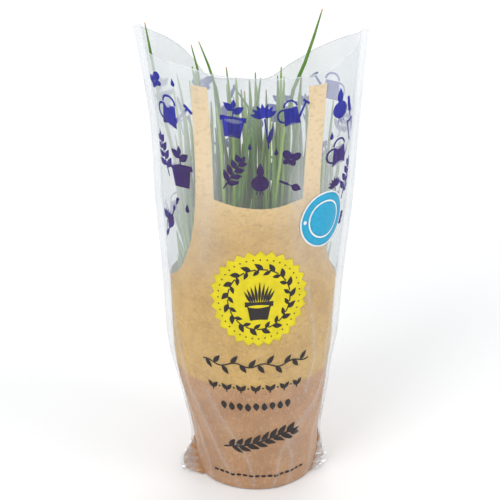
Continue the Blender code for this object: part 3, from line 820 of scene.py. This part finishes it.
# Leaves that stand out in the photograph: (tuft, radius, dry, points from the root up)
KNOWN_LEAVES = [
    (6, 0.00150, 1.0, [
        (0.0130, -0.0100, 0.0905), (0.0160, -0.0140, 0.180), (0.0196, -0.0165, 0.250),
        (0.0213, -0.0170, 0.285), (0.0257, -0.0170, 0.308), (0.0291, -0.0160, 0.330),
        (0.0346, -0.0140, 0.343), (0.0415, -0.0100, 0.3605), (0.0508, -0.0040, 0.3905)]),
    (12, 0.00135, 1.0, [
        (-0.0380, 0.0, 0.0905), (-0.0465, -0.0030, 0.190), (-0.0550, -0.0040, 0.258),
        (-0.0612, -0.0030, 0.292), (-0.0665, -0.0020, 0.315), (-0.0700, -0.0010, 0.334),
        (-0.0735, 0.0, 0.357), (-0.0770, 0.0005, 0.3792)]),
    (13, 0.00125, 1.0, [
        (-0.0290, -0.0200, 0.0905), (-0.0330, -0.0200, 0.200), (-0.0360, -0.0180, 0.300),
        (-0.0372, -0.0170, 0.338), (-0.0385, -0.0160, 0.3485), (-0.0432, -0.0140, 0.3672)]),
    (13, 0.00115, 1.0, [
        (-0.0300, -0.0220, 0.0905), (-0.0350, -0.0230, 0.220), (-0.0384, -0.0210, 0.335),
        (-0.0402, -0.0200, 0.351)]),
    (4, 0.00125, 1.0, [
        (-0.0175, 0.0, 0.0905), (-0.0190, -0.0080, 0.200), (-0.0215, -0.0130, 0.280),
        (-0.0224, -0.0130, 0.3095), (-0.0251, -0.0130, 0.3304), (-0.0289, -0.0120, 0.345),
        (-0.0379, -0.0100, 0.3684)]),
    (5, 0.00160, 0.0, [
        (-0.0060, -0.0160, 0.0905), (-0.0120, -0.0340, 0.200), (-0.0090, -0.0370, 0.262),
        (-0.0046, -0.0375, 0.288), (0.0004, -0.0355, 0.3143), (0.0047, -0.0330, 0.3322),
        (0.0067, -0.0300, 0.3476)]),
    (5, 0.00135, 0.0, [
        (-0.0040, -0.0150, 0.0905), (0.0020, -0.0290, 0.220), (0.0016, -0.0285, 0.290),
        (-0.0010, -0.0270, 0.3186), (-0.0046, -0.0260, 0.3297), (-0.0132, -0.0240, 0.3403)]),
]
KNOWN_TONE = 0.06
ROOT_DEPTH = 0.004
ROOT_SPREAD = 0.0056
TIP_SPREADS = (0.006, 0.018)
LEAF_TOPS = (0.165, 0.305)
TALL_TOPS = (0.300, 0.345)
LEAF_RADII = (0.00115, 0.00185)
# More leaves of the outer tufts, which lean out towards the film
OUTWARD_LEAVES = 9
OUTWARD_REACH = 0.0500
OUTWARD_TOPS = (0.165, 0.262)
OUTWARD_RADII = (0.00120, 0.00175)


def leaf_path(root, tip, top, wander, draw):
    """Points up the middle of one leaf from the soil to its tip."""
    t = np.linspace(0, 1, LEAF_POINTS)
    height = SOIL_TOP - ROOT_DEPTH + (top - SOIL_TOP + ROOT_DEPTH) * t
    bend = t ** draw.uniform(1.1, 1.9)
    sway = np.sin(t * math.pi * draw.uniform(0.8, 1.6)) * wander
    turn = draw.uniform(0, 2 * math.pi)
    x = root[0] + (tip[0] - root[0]) * bend + sway * math.cos(turn)
    y = root[1] + (tip[1] - root[1]) * bend + sway * math.sin(turn)
    reach = np.hypot(x, y)
    limit = FAN_RADIUS * 0.95
    squeeze = np.where(reach > limit, limit / reach, 1.0)
    return fanned(x * squeeze, y * squeeze, height)


def leaf_rows(number, place, draw):
    """Every leaf of one tuft as (points, radius, tone, dry)."""
    rows = []
    for k in range(LEAVES_A_TUFT):
        turn = k * math.pi * (3 - math.sqrt(5)) + number
        share = math.sqrt((k + 0.5) / LEAVES_A_TUFT)
        side = (math.cos(turn) * share, math.sin(turn) * share)
        root = tuple(place[i] + side[i] * ROOT_SPREAD for i in range(2))
        spread = draw.uniform(*TIP_SPREADS)
        tip = tuple(place[i] + side[i] * spread for i in range(2))
        top = draw.uniform(*LEAF_TOPS)
        if k % 9 == 4:
            top = draw.uniform(*TALL_TOPS)
        path = leaf_path(root, tip, top, draw.uniform(0.0, 0.0055), draw)
        rows.append((path, draw.uniform(*LEAF_RADII), draw.uniform(0.22, 1.0), float(draw.random() < 0.25)))
    outer = math.hypot(*place) > TUFT_RINGS[1][1] * 1.1
    for _ in range(OUTWARD_LEAVES if outer else 0):
        turn = math.atan2(place[1], place[0]) + draw.uniform(-0.33, 0.33)
        tip = (OUTWARD_REACH * math.cos(turn), OUTWARD_REACH * math.sin(turn))
        root = tuple(place[i] + draw.uniform(-0.004, 0.004) for i in range(2))
        path = leaf_path(root, tip, draw.uniform(*OUTWARD_TOPS), draw.uniform(0.0, 0.003), draw)
        rows.append((path, draw.uniform(*OUTWARD_RADII), draw.uniform(0.30, 1.0), float(draw.random() < 0.2)))
    for tuft, radius, dry, points in KNOWN_LEAVES:
        if tuft == number:
            levels = [point[2] for point in points]
            height = np.linspace(levels[0], levels[-1], LEAF_POINTS)
            sides = [along(list(zip(levels, [point[i] for point in points])), height) for i in range(2)]
            rows.append((np.stack([*sides, height], axis=-1), radius, KNOWN_TONE, dry))
    return rows


BULBS_ROUND = 6
BULB_RING = 0.0052
BULB_RADII = (0.0024, 0.0030)
BULB_LEVELS = (SOIL_TOP - 0.007, SOIL_TOP + 0.006)


def bulb_rows(place, draw):
    """The small pale bulbs at a tuft's foot, sunk in the soil: a ring and one in its middle."""
    rows = []
    for k in range(BULBS_ROUND + 1):
        turn, out = 2 * math.pi * k / BULBS_ROUND, BULB_RING if k < BULBS_ROUND else 0.0
        x, y = place[0] + out * math.cos(turn), place[1] + out * math.sin(turn)
        path = np.stack(np.broadcast_arrays(x, y, np.linspace(*BULB_LEVELS, LEAF_POINTS)), axis=-1)
        rows.append((path, draw.uniform(*BULB_RADII), draw.random(), 0.0))
    return rows


def leaf_girth():
    """A leaf's share of its radius at each point up to the tip."""
    t = np.linspace(0, 1, LEAF_POINTS)
    return np.minimum(0.80 + 0.9 * t, 1.0) * (0.28 + 0.72 * (1 - t**9) ** 0.7)


def bulb_girth():
    """A bulb's share of its radius at each point up to the neck."""
    t = np.linspace(0, 1, LEAF_POINTS)
    return 0.35 + 0.65 * np.sin(math.pi * np.clip(t * 1.15, 0, 1)) ** 0.8


def new_tree(name, **sockets):
    """An empty tree with these named inputs, and its input node."""
    tree = bpy.data.node_groups.new(name, "GeometryNodeTree")
    kinds = {"Geometry": "Geometry", **sockets, "Material": "Material"}
    for label, kind in kinds.items():
        tree.interface.new_socket(label, in_out="INPUT", socket_type=f"NodeSocket{kind}")
    tree.interface.new_socket("Geometry", in_out="OUTPUT", socket_type="NodeSocketGeometry")
    return tree, tree.nodes.new("NodeGroupInput")


def grown(tree, kind, **inputs):
    """A node of a tree, with a value or another node's output for each named input."""
    made = tree.nodes.new(kind)
    for name, value in inputs.items():
        socket = made.inputs[name.replace("_", " ")]
        if isinstance(value, bpy.types.NodeSocket):
            tree.links.new(value, socket)
        else:
            socket.default_value = value
    return made


def end_tree(tree, start, shape):
    """Makes every instance real and painted, and hands it out."""
    real = grown(tree, "GeometryNodeRealizeInstances", Geometry=shape)
    paint = grown(tree, "GeometryNodeSetMaterial", Geometry=real.outputs[0],
                  Material=start.outputs["Material"])
    grown(tree, "NodeGroupOutput", Geometry=paint.outputs[0])


def tube_tree():
    """Geometry nodes that sweep a round leaf along every line, as thick as its points say."""
    tree, start = new_tree("leaves along lines", Sides="Int")
    lines = grown(tree, "GeometryNodeMeshToCurve", Mesh=start.outputs["Geometry"])
    girth = grown(tree, "GeometryNodeInputNamedAttribute", Name="girth")
    ring = grown(tree, "GeometryNodeCurvePrimitiveCircle", Radius=1.0, Resolution=start.outputs["Sides"])
    sweep = grown(tree, "GeometryNodeCurveToMesh", Curve=lines.outputs[0], Profile_Curve=ring.outputs[0],
                  Scale=girth.outputs["Attribute"], Fill_Caps=True)
    smooth = grown(tree, "GeometryNodeSetShadeSmooth", Geometry=sweep.outputs[0])
    end_tree(tree, start, smooth.outputs[0])
    return tree


def set_input(modifier, name, value):
    """Sets a tree's named input by its socket's identifier."""
    for socket in modifier.node_group.interface.items_tree:
        if socket.item_type == "SOCKET" and socket.in_out == "INPUT" and socket.name == name:
            modifier[socket.identifier] = value


def build_tuft(number, place, tree, material):
    """One clump of leaves and bulbs, swept along lines that carry their girth and colouring."""
    draw = random.Random(LEAF_SEED + number)
    rows = [(*row, leaf_girth(), True) for row in leaf_rows(number, place, draw)]
    rows += [(*row, bulb_girth(), False) for row in bulb_rows(place, draw)]
    points, edges, values = [], [], {"girth": [], "share": [], "tone": [], "dry": []}
    for path, radius, tone, dry, girth, grows in rows:
        edges += [(len(points) + k, len(points) + k + 1) for k in range(LEAF_POINTS - 1)]
        points += path.tolist()
        values["girth"] += (girth * radius).tolist()
        values["share"] += (np.linspace(0, 1, LEAF_POINTS) * grows).tolist()
        values["tone"] += [tone] * LEAF_POINTS
        values["dry"] += [dry] * LEAF_POINTS
    mesh = bpy.data.meshes.new("leaf lines")
    mesh.from_pydata(points, edges, [])
    for name, numbers in values.items():
        mesh.attributes.new(name, "FLOAT", "POINT").data.foreach_set("value", numbers)
    tuft = bpy.data.objects.new(f"chives_{number:02d}", mesh)
    bpy.context.scene.collection.objects.link(tuft)
    grow = tuft.modifiers.new("leaves", "NODES")
    grow.node_group = tree
    set_input(grow, "Sides", LEAF_SIDES)
    set_input(grow, "Material", material)
    flatten(tuft)
    return tuft


# Soil


SOIL_SIDES = 120
SOIL_RINGS = 26
SOIL_SEED = 3
SOIL_WAVES = 14
SOIL_LUMP = 0.00028
SOIL_BOTTOM = 0.0056
# Down the soil's side, as (radius, height)
SOIL_SIDE = [(SOIL_RADIUS, SOIL_TOP - 0.001), (0.0480, 0.060), (0.0403, SOIL_BOTTOM)]


def build_soil(material):
    """The soil's body with its lumpy top, flat at its edge."""
    draw = random.Random(SOIL_SEED)
    waves = [(draw.uniform(60, 420), draw.uniform(0, 6.28), draw.uniform(0, 6.28)) for _ in range(SOIL_WAVES)]
    rings = []
    for ring in range(1, SOIL_RINGS + 1):
        points = ring_points(SOIL_RADIUS * ring / SOIL_RINGS, SOIL_TOP, SOIL_SIDES)
        x, y = points[:, 0], points[:, 1]
        lift = sum(np.sin(k * (x * math.cos(a) + y * math.sin(a)) + b) for k, a, b in waves) * SOIL_LUMP
        points[:, 2] += lift * min(1, (SOIL_RINGS - ring) / 3)
        rings.append(points)
    rings += [ring_points(radius, height, SOIL_SIDES) for radius, height in SOIL_SIDE]
    points = np.concatenate([*rings, [[0, 0, SOIL_TOP]], [[0, 0, SOIL_BOTTOM]]])
    faces = grid_faces(len(rings), SOIL_SIDES, True)
    top, bottom, last = len(points) - 2, len(points) - 1, (len(rings) - 1) * SOIL_SIDES
    for k in range(SOIL_SIDES):
        after = (k + 1) % SOIL_SIDES
        faces += [(top, k, after), (bottom, last + after, last + k)]
    soil = piece_of("soil_body", points, faces, material)
    tidy_normals(soil)
    return soil


def crumb_tree():
    """Geometry nodes that strew small lumps over a surface."""
    tree, start = new_tree("crumbs on soil", Density="Float", Smallest="Float", Largest="Float", Seed="Int")
    inputs = start.outputs
    strew = grown(tree, "GeometryNodeDistributePointsOnFaces", Mesh=inputs["Geometry"],
                  Density=inputs["Density"], Seed=inputs["Seed"])
    lump = grown(tree, "GeometryNodeMeshIcoSphere", Radius=1.0, Subdivisions=1)
    size = grown(tree, "FunctionNodeRandomValue", Seed=inputs["Seed"])
    tree.links.new(inputs["Smallest"], size.inputs[2])
    tree.links.new(inputs["Largest"], size.inputs[3])
    turn = tree.nodes.new("FunctionNodeRandomValue")
    turn.data_type = "FLOAT_VECTOR"
    turn.inputs["Max"].default_value = (6.28, 6.28, 6.28)
    put = grown(tree, "GeometryNodeInstanceOnPoints", Points=strew.outputs["Points"], Instance=lump.outputs[0],
                Scale=size.outputs[1], Rotation=turn.outputs[0])
    end_tree(tree, start, put.outputs[0])
    return tree


# What lies strewn on the soil: how many a square metre, and the radii of its lumps
CRUMBS = {"Density": 300000.0, "Smallest": 0.0005, "Largest": 0.0015, "Seed": 4}
PERLITE = {"Density": 12000.0, "Smallest": 0.0006, "Largest": 0.0013, "Seed": 9}
STREWN_RADIUS = 0.0500
STREWN_LIFT = 0.0003
STREWN_SIDES = 48


def build_crumbs(name, tree, settings, material):
    disc = ring_points(STREWN_RADIUS, SOIL_TOP + STREWN_LIFT, STREWN_SIDES)
    crumbs = piece_of(name, disc, [range(STREWN_SIDES)], material)
    strew = crumbs.modifiers.new("crumbs", "NODES")
    strew.node_group = tree
    for key, value in {**settings, "Material": material}.items():
        set_input(strew, key, value)
    flatten(crumbs)
    return crumbs


# Print shapes, drawn flat about their middle with a size of about 1


def oval(x, y, across, tall, turn=0.0, points=28):
    steps = [2 * math.pi * k / points for k in range(points)]
    c, s = math.cos(turn), math.sin(turn)
    spots = [(across * math.cos(a), tall * math.sin(a)) for a in steps]
    return [(x + c * u - s * v, y + s * u + c * v) for u, v in spots]


def leaf(x, y, length, width, turn):
    """A pointed leaf from (x, y) out along its turn."""
    shares = [k / 12 for k in range(13)]
    side = [(length * t, width * math.sin(math.pi * t**0.8)) for t in shares]
    spots = side[:-1] + [(u, -v) for u, v in side[:0:-1]]
    c, s = math.cos(turn), math.sin(turn)
    return [(x + c * u - s * v, y + s * u + c * v) for u, v in spots]


def bar(x0, y0, x1, y1, w0, w1=None):
    """A bar with round ends, as wide at each end as said."""
    w1 = w0 if w1 is None else w1
    turn = math.atan2(y1 - y0, x1 - x0)
    spots = []
    for (x, y, w, start) in ((x1, y1, w1, turn - math.pi / 2), (x0, y0, w0, turn + math.pi / 2)):
        for k in range(9):
            a = start + math.pi * k / 8
            spots.append((x + w / 2 * math.cos(a), y + w / 2 * math.sin(a)))
    return spots


def bow(x, y, radius, start, end, width, steps=18):
    """A bent band round a centre."""
    angles = [start + (end - start) * k / steps for k in range(steps + 1)]
    sides = ((radius + width / 2, angles), (radius - width / 2, angles[::-1]))
    return [(x + r * math.cos(a), y + r * math.sin(a)) for r, turns in sides for a in turns]


def handle(foot):
    """The neck of a garden tool, from this height up, and its grip."""
    return [bar(0, foot, 0, 0.12, 0.04), bar(0, 0.14, 0, 0.44, 0.095, 0.075)]


def sprig():
    shapes = [bar(0, -0.5, 0.04, 0.42, 0.035)]
    for k in range(4):
        y = -0.32 + 0.2 * k
        shapes += [leaf(0.01, y, 0.34 - 0.03 * k, 0.075, math.radians(38)),
                   leaf(0.01, y + 0.06, 0.34 - 0.03 * k, 0.075, math.radians(142))]
    return [*shapes, leaf(0.04, 0.36, 0.22, 0.06, math.radians(88))]


def watering_can():
    body = [(-0.26, -0.34), (0.22, -0.34), (0.17, 0.14), (-0.21, 0.14)]
    return [body, bar(0.16, -0.22, 0.46, 0.20, 0.085, 0.05), bar(0.40, 0.25, 0.54, 0.13, 0.06),
            bow(-0.02, 0.14, 0.19, 0.1, 3.04, 0.05), bow(-0.24, -0.06, 0.17, 1.4, 4.7, 0.05)]


def flowerpot():
    body = [(-0.20, -0.45), (0.20, -0.45), (0.27, -0.03), (-0.27, -0.03)]
    lip = [(-0.32, -0.06), (0.32, -0.06), (0.32, 0.06), (-0.32, 0.06)]
    return [body, lip, bar(0, 0.04, 0, 0.30, 0.035), leaf(0, 0.14, 0.30, 0.085, math.radians(35)),
            leaf(0, 0.20, 0.30, 0.085, math.radians(143)), leaf(0, 0.26, 0.22, 0.06, math.radians(88))]


def trowel():
    return [leaf(0, -0.06, 0.46, 0.13, -math.pi / 2), *handle(-0.08)]


def bulb():
    roots = [bar(-0.06, -0.34, -0.10, -0.44, 0.022), bar(0.0, -0.34, 0.0, -0.46, 0.022),
             bar(0.06, -0.34, 0.10, -0.44, 0.022)]
    return [oval(0, -0.12, 0.25, 0.23), leaf(0, 0.02, 0.46, 0.10, math.radians(90)), *roots]


def bloom():
    shapes = [bar(0, -0.5, 0, 0.12, 0.03), leaf(0, -0.42, 0.40, 0.05, math.radians(68))]
    shapes += [leaf(0, 0.16, 0.30, 0.055, math.radians(18 + 24 * k)) for k in range(7)]
    return shapes


def butterfly():
    return [bar(0, -0.22, 0, 0.20, 0.05),
            oval(-0.20, 0.11, 0.20, 0.15, -0.5), oval(0.20, 0.11, 0.20, 0.15, 0.5),
            oval(-0.14, -0.13, 0.13, 0.11, 0.6), oval(0.14, -0.13, 0.13, 0.11, -0.6)]


def drop():
    turns = [math.radians(25 - 230 * k / 16) for k in range(17)]
    return [[(0.0, 0.34), *[(0.17 * math.cos(a), -0.08 + 0.17 * math.sin(a)) for a in turns]]]


def hand_fork():
    prongs = [bar(x, -0.46, x, -0.12, 0.03, 0.045) for x in (-0.12, 0.0, 0.12)]
    return [*prongs, bar(-0.12, -0.12, 0.12, -0.12, 0.05), *handle(-0.12)]


# Each print as (shape, degrees, height, size in metres, turn in degrees)
FRONT_PRINT = [
    (watering_can, -57, 0.318, 0.034, -6), (sprig, -70, 0.282, 0.032, 22),
    (flowerpot, -50, 0.277, 0.034, 4), (trowel, -61, 0.238, 0.034, -28),
    (drop, -45, 0.246, 0.012, 0), (bloom, -72, 0.226, 0.028, -14),
    (butterfly, -72, 0.338, 0.020, 25), (drop, -50, 0.340, 0.010, 0),
    (flowerpot, -12, 0.320, 0.030, -5), (bloom, 6, 0.316, 0.034, 8), (watering_can, 21, 0.324, 0.026, 8),
    (sprig, -13, 0.280, 0.028, -30), (bulb, 3, 0.276, 0.026, 0), (butterfly, 21, 0.290, 0.020, -18),
    (trowel, 21, 0.270, 0.020, 62), (drop, 12, 0.296, 0.009, 0), (drop, -3, 0.300, 0.008, 0),
    (bulb, 58, 0.322, 0.028, 6), (hand_fork, 72, 0.312, 0.032, 12), (watering_can, 60, 0.287, 0.030, 4),
    (sprig, 73, 0.262, 0.030, -16), (bloom, 58, 0.256, 0.026, 10), (drop, 51, 0.300, 0.010, 0),
    (butterfly, 66, 0.232, 0.020, -10),
]
BACK_PRINT = [
    (sprig, 112, 0.300, 0.032, 18), (watering_can, 128, 0.325, 0.032, 0), (bloom, 146, 0.300, 0.032, -12),
    (flowerpot, 164, 0.300, 0.030, 6), (bulb, 180, 0.288, 0.028, 0), (trowel, -164, 0.305, 0.032, 24),
    (butterfly, -148, 0.322, 0.022, 0), (hand_fork, -131, 0.300, 0.034, -12),
    (flowerpot, -112, 0.322, 0.030, 4), (sprig, 128, 0.262, 0.032, -24),
    (butterfly, 150, 0.256, 0.022, 12), (watering_can, 172, 0.246, 0.034, -6),
    (bloom, -158, 0.262, 0.030, 14), (sprig, -136, 0.256, 0.030, 32), (drop, -120, 0.272, 0.014, 0),
    (trowel, 112, 0.232, 0.030, 12), (bulb, 142, 0.216, 0.028, 0), (drop, 160, 0.214, 0.012, 0),
    (flowerpot, -170, 0.206, 0.030, 0), (bloom, -142, 0.212, 0.030, -10),
    (watering_can, -116, 0.226, 0.032, 8),
]
INK_WALL = 0.00005
INK_LIFT = 0.00006
PRINT_STEP = 0.0022


def metres_round(degrees, height):
    """Metres of film for each degree at a place."""
    a, b = sleeve_points(degrees - 1, height), sleeve_points(degrees + 1, height)
    return float(np.linalg.norm(b - a)) / 2


def printed(name, shapes, degrees, height, size, turn, material,
            lift=INK_LIFT, wall=INK_WALL, step=PRINT_STEP):
    """Flat shapes laid on the film at a place of it, turned and sized, as a thin layer."""
    c, s = math.cos(math.radians(turn)), math.sin(math.radians(turn))
    flat = [[(size * (c * x - s * y), size * (s * x + c * y)) for x, y in shape] for shape in shapes]
    low = tuple(min(p[i] for shape in flat for p in shape) for i in range(2))
    high = tuple(max(p[i] for shape in flat for p in shape) for i in range(2))
    spots, faces = fill_flat(flat, step, (low, high))
    round_film = metres_round(degrees, height)
    points = sleeve_points(degrees + spots[:, 0] / round_film, height + spots[:, 1], lift + wall)
    item = piece_of(name, points, faces, material)
    face_out(item)
    thicken(item, wall)
    return item


def face_out(item):
    """Turns a sheet's faces away from the plant's axis."""
    with opened(item) as shape:
        bmesh.ops.recalc_face_normals(shape, faces=shape.faces)
        if sum(f.normal.xy @ f.calc_center_median().xy for f in shape.faces) < 0:
            bmesh.ops.reverse_faces(shape, faces=shape.faces)


def build_print(name, layout, material):
    parts = [printed(name, shape(), *where, material) for shape, *where in layout]
    return joined(name, parts)


SEAL_PLACE = (4.0, 0.1815)
SEAL_RADIUS = 0.0374
TEETH = 28
TOOTH_DEPTH = 0.052
HERB_PLACE = (4.0, 0.1805)
HERB_SIZE = 0.034
SEAL_STEP = 0.0015


def toothed(radius, depth, count):
    """A round seal's outline with pointed teeth."""
    spots = []
    for k in range(2 * count):
        r, a = radius * (1 + depth * (1 - 2 * (k % 2))), math.pi * k / count
        spots.append((r * math.cos(a), r * math.sin(a)))
    return spots


def ring_of(count, radius, drawn, start=0.0):
    """A shape's drawing, made at each of so many places round a ring."""
    shapes = []
    for k in range(count):
        a = start + 2 * math.pi * k / count
        shapes.append(drawn(radius * math.cos(a), radius * math.sin(a), a))
    return shapes


def garland():
    """A wreath of leaves inside a ring of dots."""
    shapes = ring_of(40, 0.430, lambda x, y, a: oval(x, y, 0.0080, 0.0080, 0, 12))
    shapes += ring_of(17, 0.330, lambda x, y, a: leaf(x, y, 0.105, 0.026, a + 1.05))
    shapes += ring_of(17, 0.320, lambda x, y, a: leaf(x, y, 0.085, 0.021, a + 2.35), 0.12)
    shapes += ring_of(17, 0.325, lambda x, y, a: bow(0, 0, 0.325, a - 0.15, a + 0.17, 0.012, 6))
    return shapes


def potted_herb():
    """A small pot with a fan of narrow leaves, for the seal's middle."""
    shapes = [[(-0.20, -0.46), (0.20, -0.46), (0.27, -0.12), (-0.27, -0.12)],
              [(-0.32, -0.14), (0.32, -0.14), (0.32, -0.02), (-0.32, -0.02)]]
    for k in range(9):
        lean = (k - 4) * 0.15
        reach = 0.50 - 0.045 * abs(k - 4)
        shapes.append(leaf(lean * 0.30, -0.04, reach, 0.030, math.pi / 2 - lean * 0.9))
    return shapes


def vine():
    """A thin waved stem with open leaves on both sides."""
    xs = [-0.5 + k / 40 for k in range(41)]
    stem = [(x, 0.018 * math.sin(x * 24) + 0.006) for x in xs]
    shapes = [stem + [(x, y - 0.012) for x, y in stem[::-1]]]
    for k in range(12):
        x = -0.47 + k * 0.080
        side = 1 if k % 2 else -1
        shapes.append(leaf(x, 0.018 * math.sin(x * 24), 0.100, 0.021, side * math.radians(52)))
    return shapes


def leaf_row():
    """A bold row of paired leaves and dots."""
    shapes = []
    for k in range(7):
        x = -0.43 + 0.144 * k
        shapes += [leaf(x, -0.040, 0.084, 0.021, math.radians(54)),
                   leaf(x, -0.040, 0.084, 0.021, math.radians(126)), bar(x, -0.058, x, -0.030, 0.014)]
        if k < 6:
            shapes.append(oval(x + 0.072, -0.010, 0.0095, 0.0095, 0, 14))
    return shapes


def drop_row():
    """A bold row of drops, every other one upside down."""
    shapes = []
    for k in range(9):
        flip = (-1) ** k
        shapes.append(leaf(-0.46 + 0.115 * k, 0.075 * flip, 0.150, 0.042, -flip * math.pi / 2))
    return shapes


def long_sprig():
    """A sprig that lies along the bag's foot."""
    shapes = [bar(-0.5, -0.02, 0.44, 0.04, 0.022)]
    for k in range(8):
        x = -0.42 + 0.115 * k
        shapes.append(leaf(x, -0.02 + 0.064 * (x + 0.5), 0.18, 0.036, math.radians(46)))
        shapes.append(leaf(x + 0.03, -0.02 + 0.064 * (x + 0.5), 0.18, 0.036, math.radians(-36)))
    return [*shapes, leaf(0.42, 0.035, 0.14, 0.03, math.radians(4))]


def dashed_rule():
    return [bar(-0.48 + 0.064 * k, 0.0, -0.458 + 0.064 * k, 0.0, 0.026) for k in range(16)]


# The dark rows below the seal, as (drawing, degrees, height, width in metres, turn in degrees)
DARK_ROWS = [
    (vine, 3.0, 0.1265, 0.088, 0), (leaf_row, 2.5, 0.1070, 0.080, 0), (drop_row, 2.5, 0.0885, 0.056, 0),
    (long_sprig, 3.5, 0.050, 0.062, 13), (dashed_rule, 2.5, 0.0145, 0.080, 0),
]


def build_labels(yellow, dark):
    """The yellow seal with its wreath and potted herb, and the rows of drawings below it."""
    size, above = 2 * SEAL_RADIUS, 2 * INK_LIFT + 2 * INK_WALL
    seal = printed("yellow_seal", [toothed(0.5, TOOTH_DEPTH, TEETH)], *SEAL_PLACE, size, 0, yellow)
    herb = printed("herb", potted_herb(), *HERB_PLACE, HERB_SIZE, 0, dark, above, INK_WALL, SEAL_STEP)
    wreath = printed("wreath", garland(), *SEAL_PLACE, size, 0, dark, above, INK_WALL, SEAL_STEP)
    rows = [printed("row", drawing(), *where, dark) for drawing, *where in DARK_ROWS]
    return seal, joined("dark_print", [herb, wreath, *rows])


STICKER_PLACE = (48.5, 0.2375)
STICKER_RADIUS = 0.0215
STICKER_LIFT = 0.00030
STICKER_WALL = 0.00010
FACE_LIFT = 0.00041
FACE_WALL = 0.00004
STICKER_STEP = 0.0025
# A hair over a quarter turn, so that the ring's four parts meet
QUARTER = 1.5708


def build_sticker(white, turquoise):
    """A round sticker with a pale rim and ring."""
    where = (*STICKER_PLACE, 2 * STICKER_RADIUS, 0)
    base = printed("sticker_base", [oval(0, 0, 0.5, 0.5, 0, 72)], *where,
                   white, STICKER_LIFT, STICKER_WALL, STICKER_STEP)
    bows = [bow(0, 0, 0.405, k * QUARTER, (k + 1) * QUARTER, 0.13) for k in range(4)]
    faces = [printed("face", shapes, *where, turquoise, FACE_LIFT, FACE_WALL, STICKER_STEP)
             for shapes in (bows, [oval(0, 0, 0.31, 0.31, 0, 60)])]
    return base, joined("sticker_face", faces)


# Stage


FLOOR_REACH = 6.0
FLOOR_DROP = -0.0002
SKY_COLOUR = (0.97, 0.985, 1.0, 1.0)
SKY_STRENGTH = 0.70
# Studio lamps as (name, place, target, size, watts)
LAMPS = [
    ("key", (-1.1, -1.3, 1.5), (0.0, 0.0, 0.16), 0.9, 16.0),
    ("fill", (1.6, -0.7, 0.8), (0.0, 0.0, 0.16), 0.8, 8.0),
    ("back", (0.3, 1.8, 1.7), (0.0, 0.0, 0.20), 1.6, 16.0),
]


def build_stage():
    shades = Shades("pale floor")
    pale = shades.principled(Base_Color=(0.95, 0.95, 0.95), Roughness=0.9, Specular_IOR_Level=0.1)
    corners = [(x * FLOOR_REACH, y * FLOOR_REACH, FLOOR_DROP) for x, y in ((-1, -1), (1, -1), (1, 1), (-1, 1))]
    floor = piece_of("floor", corners, [(0, 1, 2, 3)], shades.done(pale), smooth=False)
    world = bpy.data.worlds.new("studio")
    bpy.context.scene.world = world
    world.use_nodes = True
    sky = world.node_tree.nodes["Background"]
    sky.inputs["Color"].default_value = SKY_COLOUR
    sky.inputs["Strength"].default_value = SKY_STRENGTH
    for lamp in LAMPS:
        add_lamp(*lamp)


def add_lamp(name, place, target, side, power):
    light = bpy.data.lights.new(name, "AREA")
    light.size = side
    light.energy = power
    lamp = bpy.data.objects.new(name, light)
    bpy.context.scene.collection.objects.link(lamp)
    lamp.location = place
    lamp.rotation_euler = (Vector(target) - Vector(place)).to_track_quat("-Z", "Y").to_euler()


def build_camera():
    lens = bpy.data.cameras.new("camera")
    lens.lens = CAMERA_LENS
    lens.sensor_width = SENSOR
    lens.clip_start = 0.01
    camera = bpy.data.objects.new("camera", lens)
    bpy.context.scene.collection.objects.link(camera)
    camera.location = CAMERA_PLACE
    camera.rotation_euler = Euler((math.radians(90 - CAMERA_PITCH), 0, 0))
    bpy.context.scene.camera = camera
    bpy.context.scene.view_settings.view_transform = "Standard"
    bpy.context.scene.cycles.transparent_max_bounces = 32


def declare(item, slot, *nodes):
    """Rides on the part's one body and stands for its nodes, whose parts it hides; the slot is not used."""
    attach(item, "root")
    if nodes:
        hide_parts(*nodes)


def main():
    build_camera()
    build_stage()
    film, paper = film_material(), paper_material()
    declare(build_film(film), "clear_film", "film_sleeve")
    declare(build_paper(paper), "kraft_paper", "kraft_pocket")
    declare(build_pot(pot_material()), "pot_plastic", "pot")
    earth = soil_material()
    declare(build_soil(earth), "potting_soil", "soil")
    strew = crumb_tree()
    perlite = flat_material("perlite", (0.78, 0.76, 0.70), 0.8)
    declare(build_crumbs("soil_crumbs", strew, CRUMBS, earth), "potting_soil")
    declare(build_crumbs("perlite", strew, PERLITE, perlite), "potting_soil")
    tree, leaf_skin = tube_tree(), leaf_material()
    for number, place in enumerate(tuft_places(), start=1):
        declare(build_tuft(number, place, tree, leaf_skin), "chive_leaf", TUFT_NODES[number - 1])
    ink, dark, yellow = ink_material(*PRINT_INK), ink_material(*DARK_INK), ink_material(*SEAL_INK)
    for name, layout in (("front_print", FRONT_PRINT), ("back_print", BACK_PRINT)):
        declare(build_print(name, layout, ink), "clear_film")
    for item in build_labels(yellow, dark):
        declare(item, "clear_film")
    white = flat_material("sticker white", (0.86, 0.88, 0.88), 0.35)
    turquoise = flat_material("turquoise", (0.004, 0.360, 0.600), 0.45)
    base, face = build_sticker(white, turquoise)
    declare(base, "sticker", "round_sticker")
    declare(face, "sticker")


main()
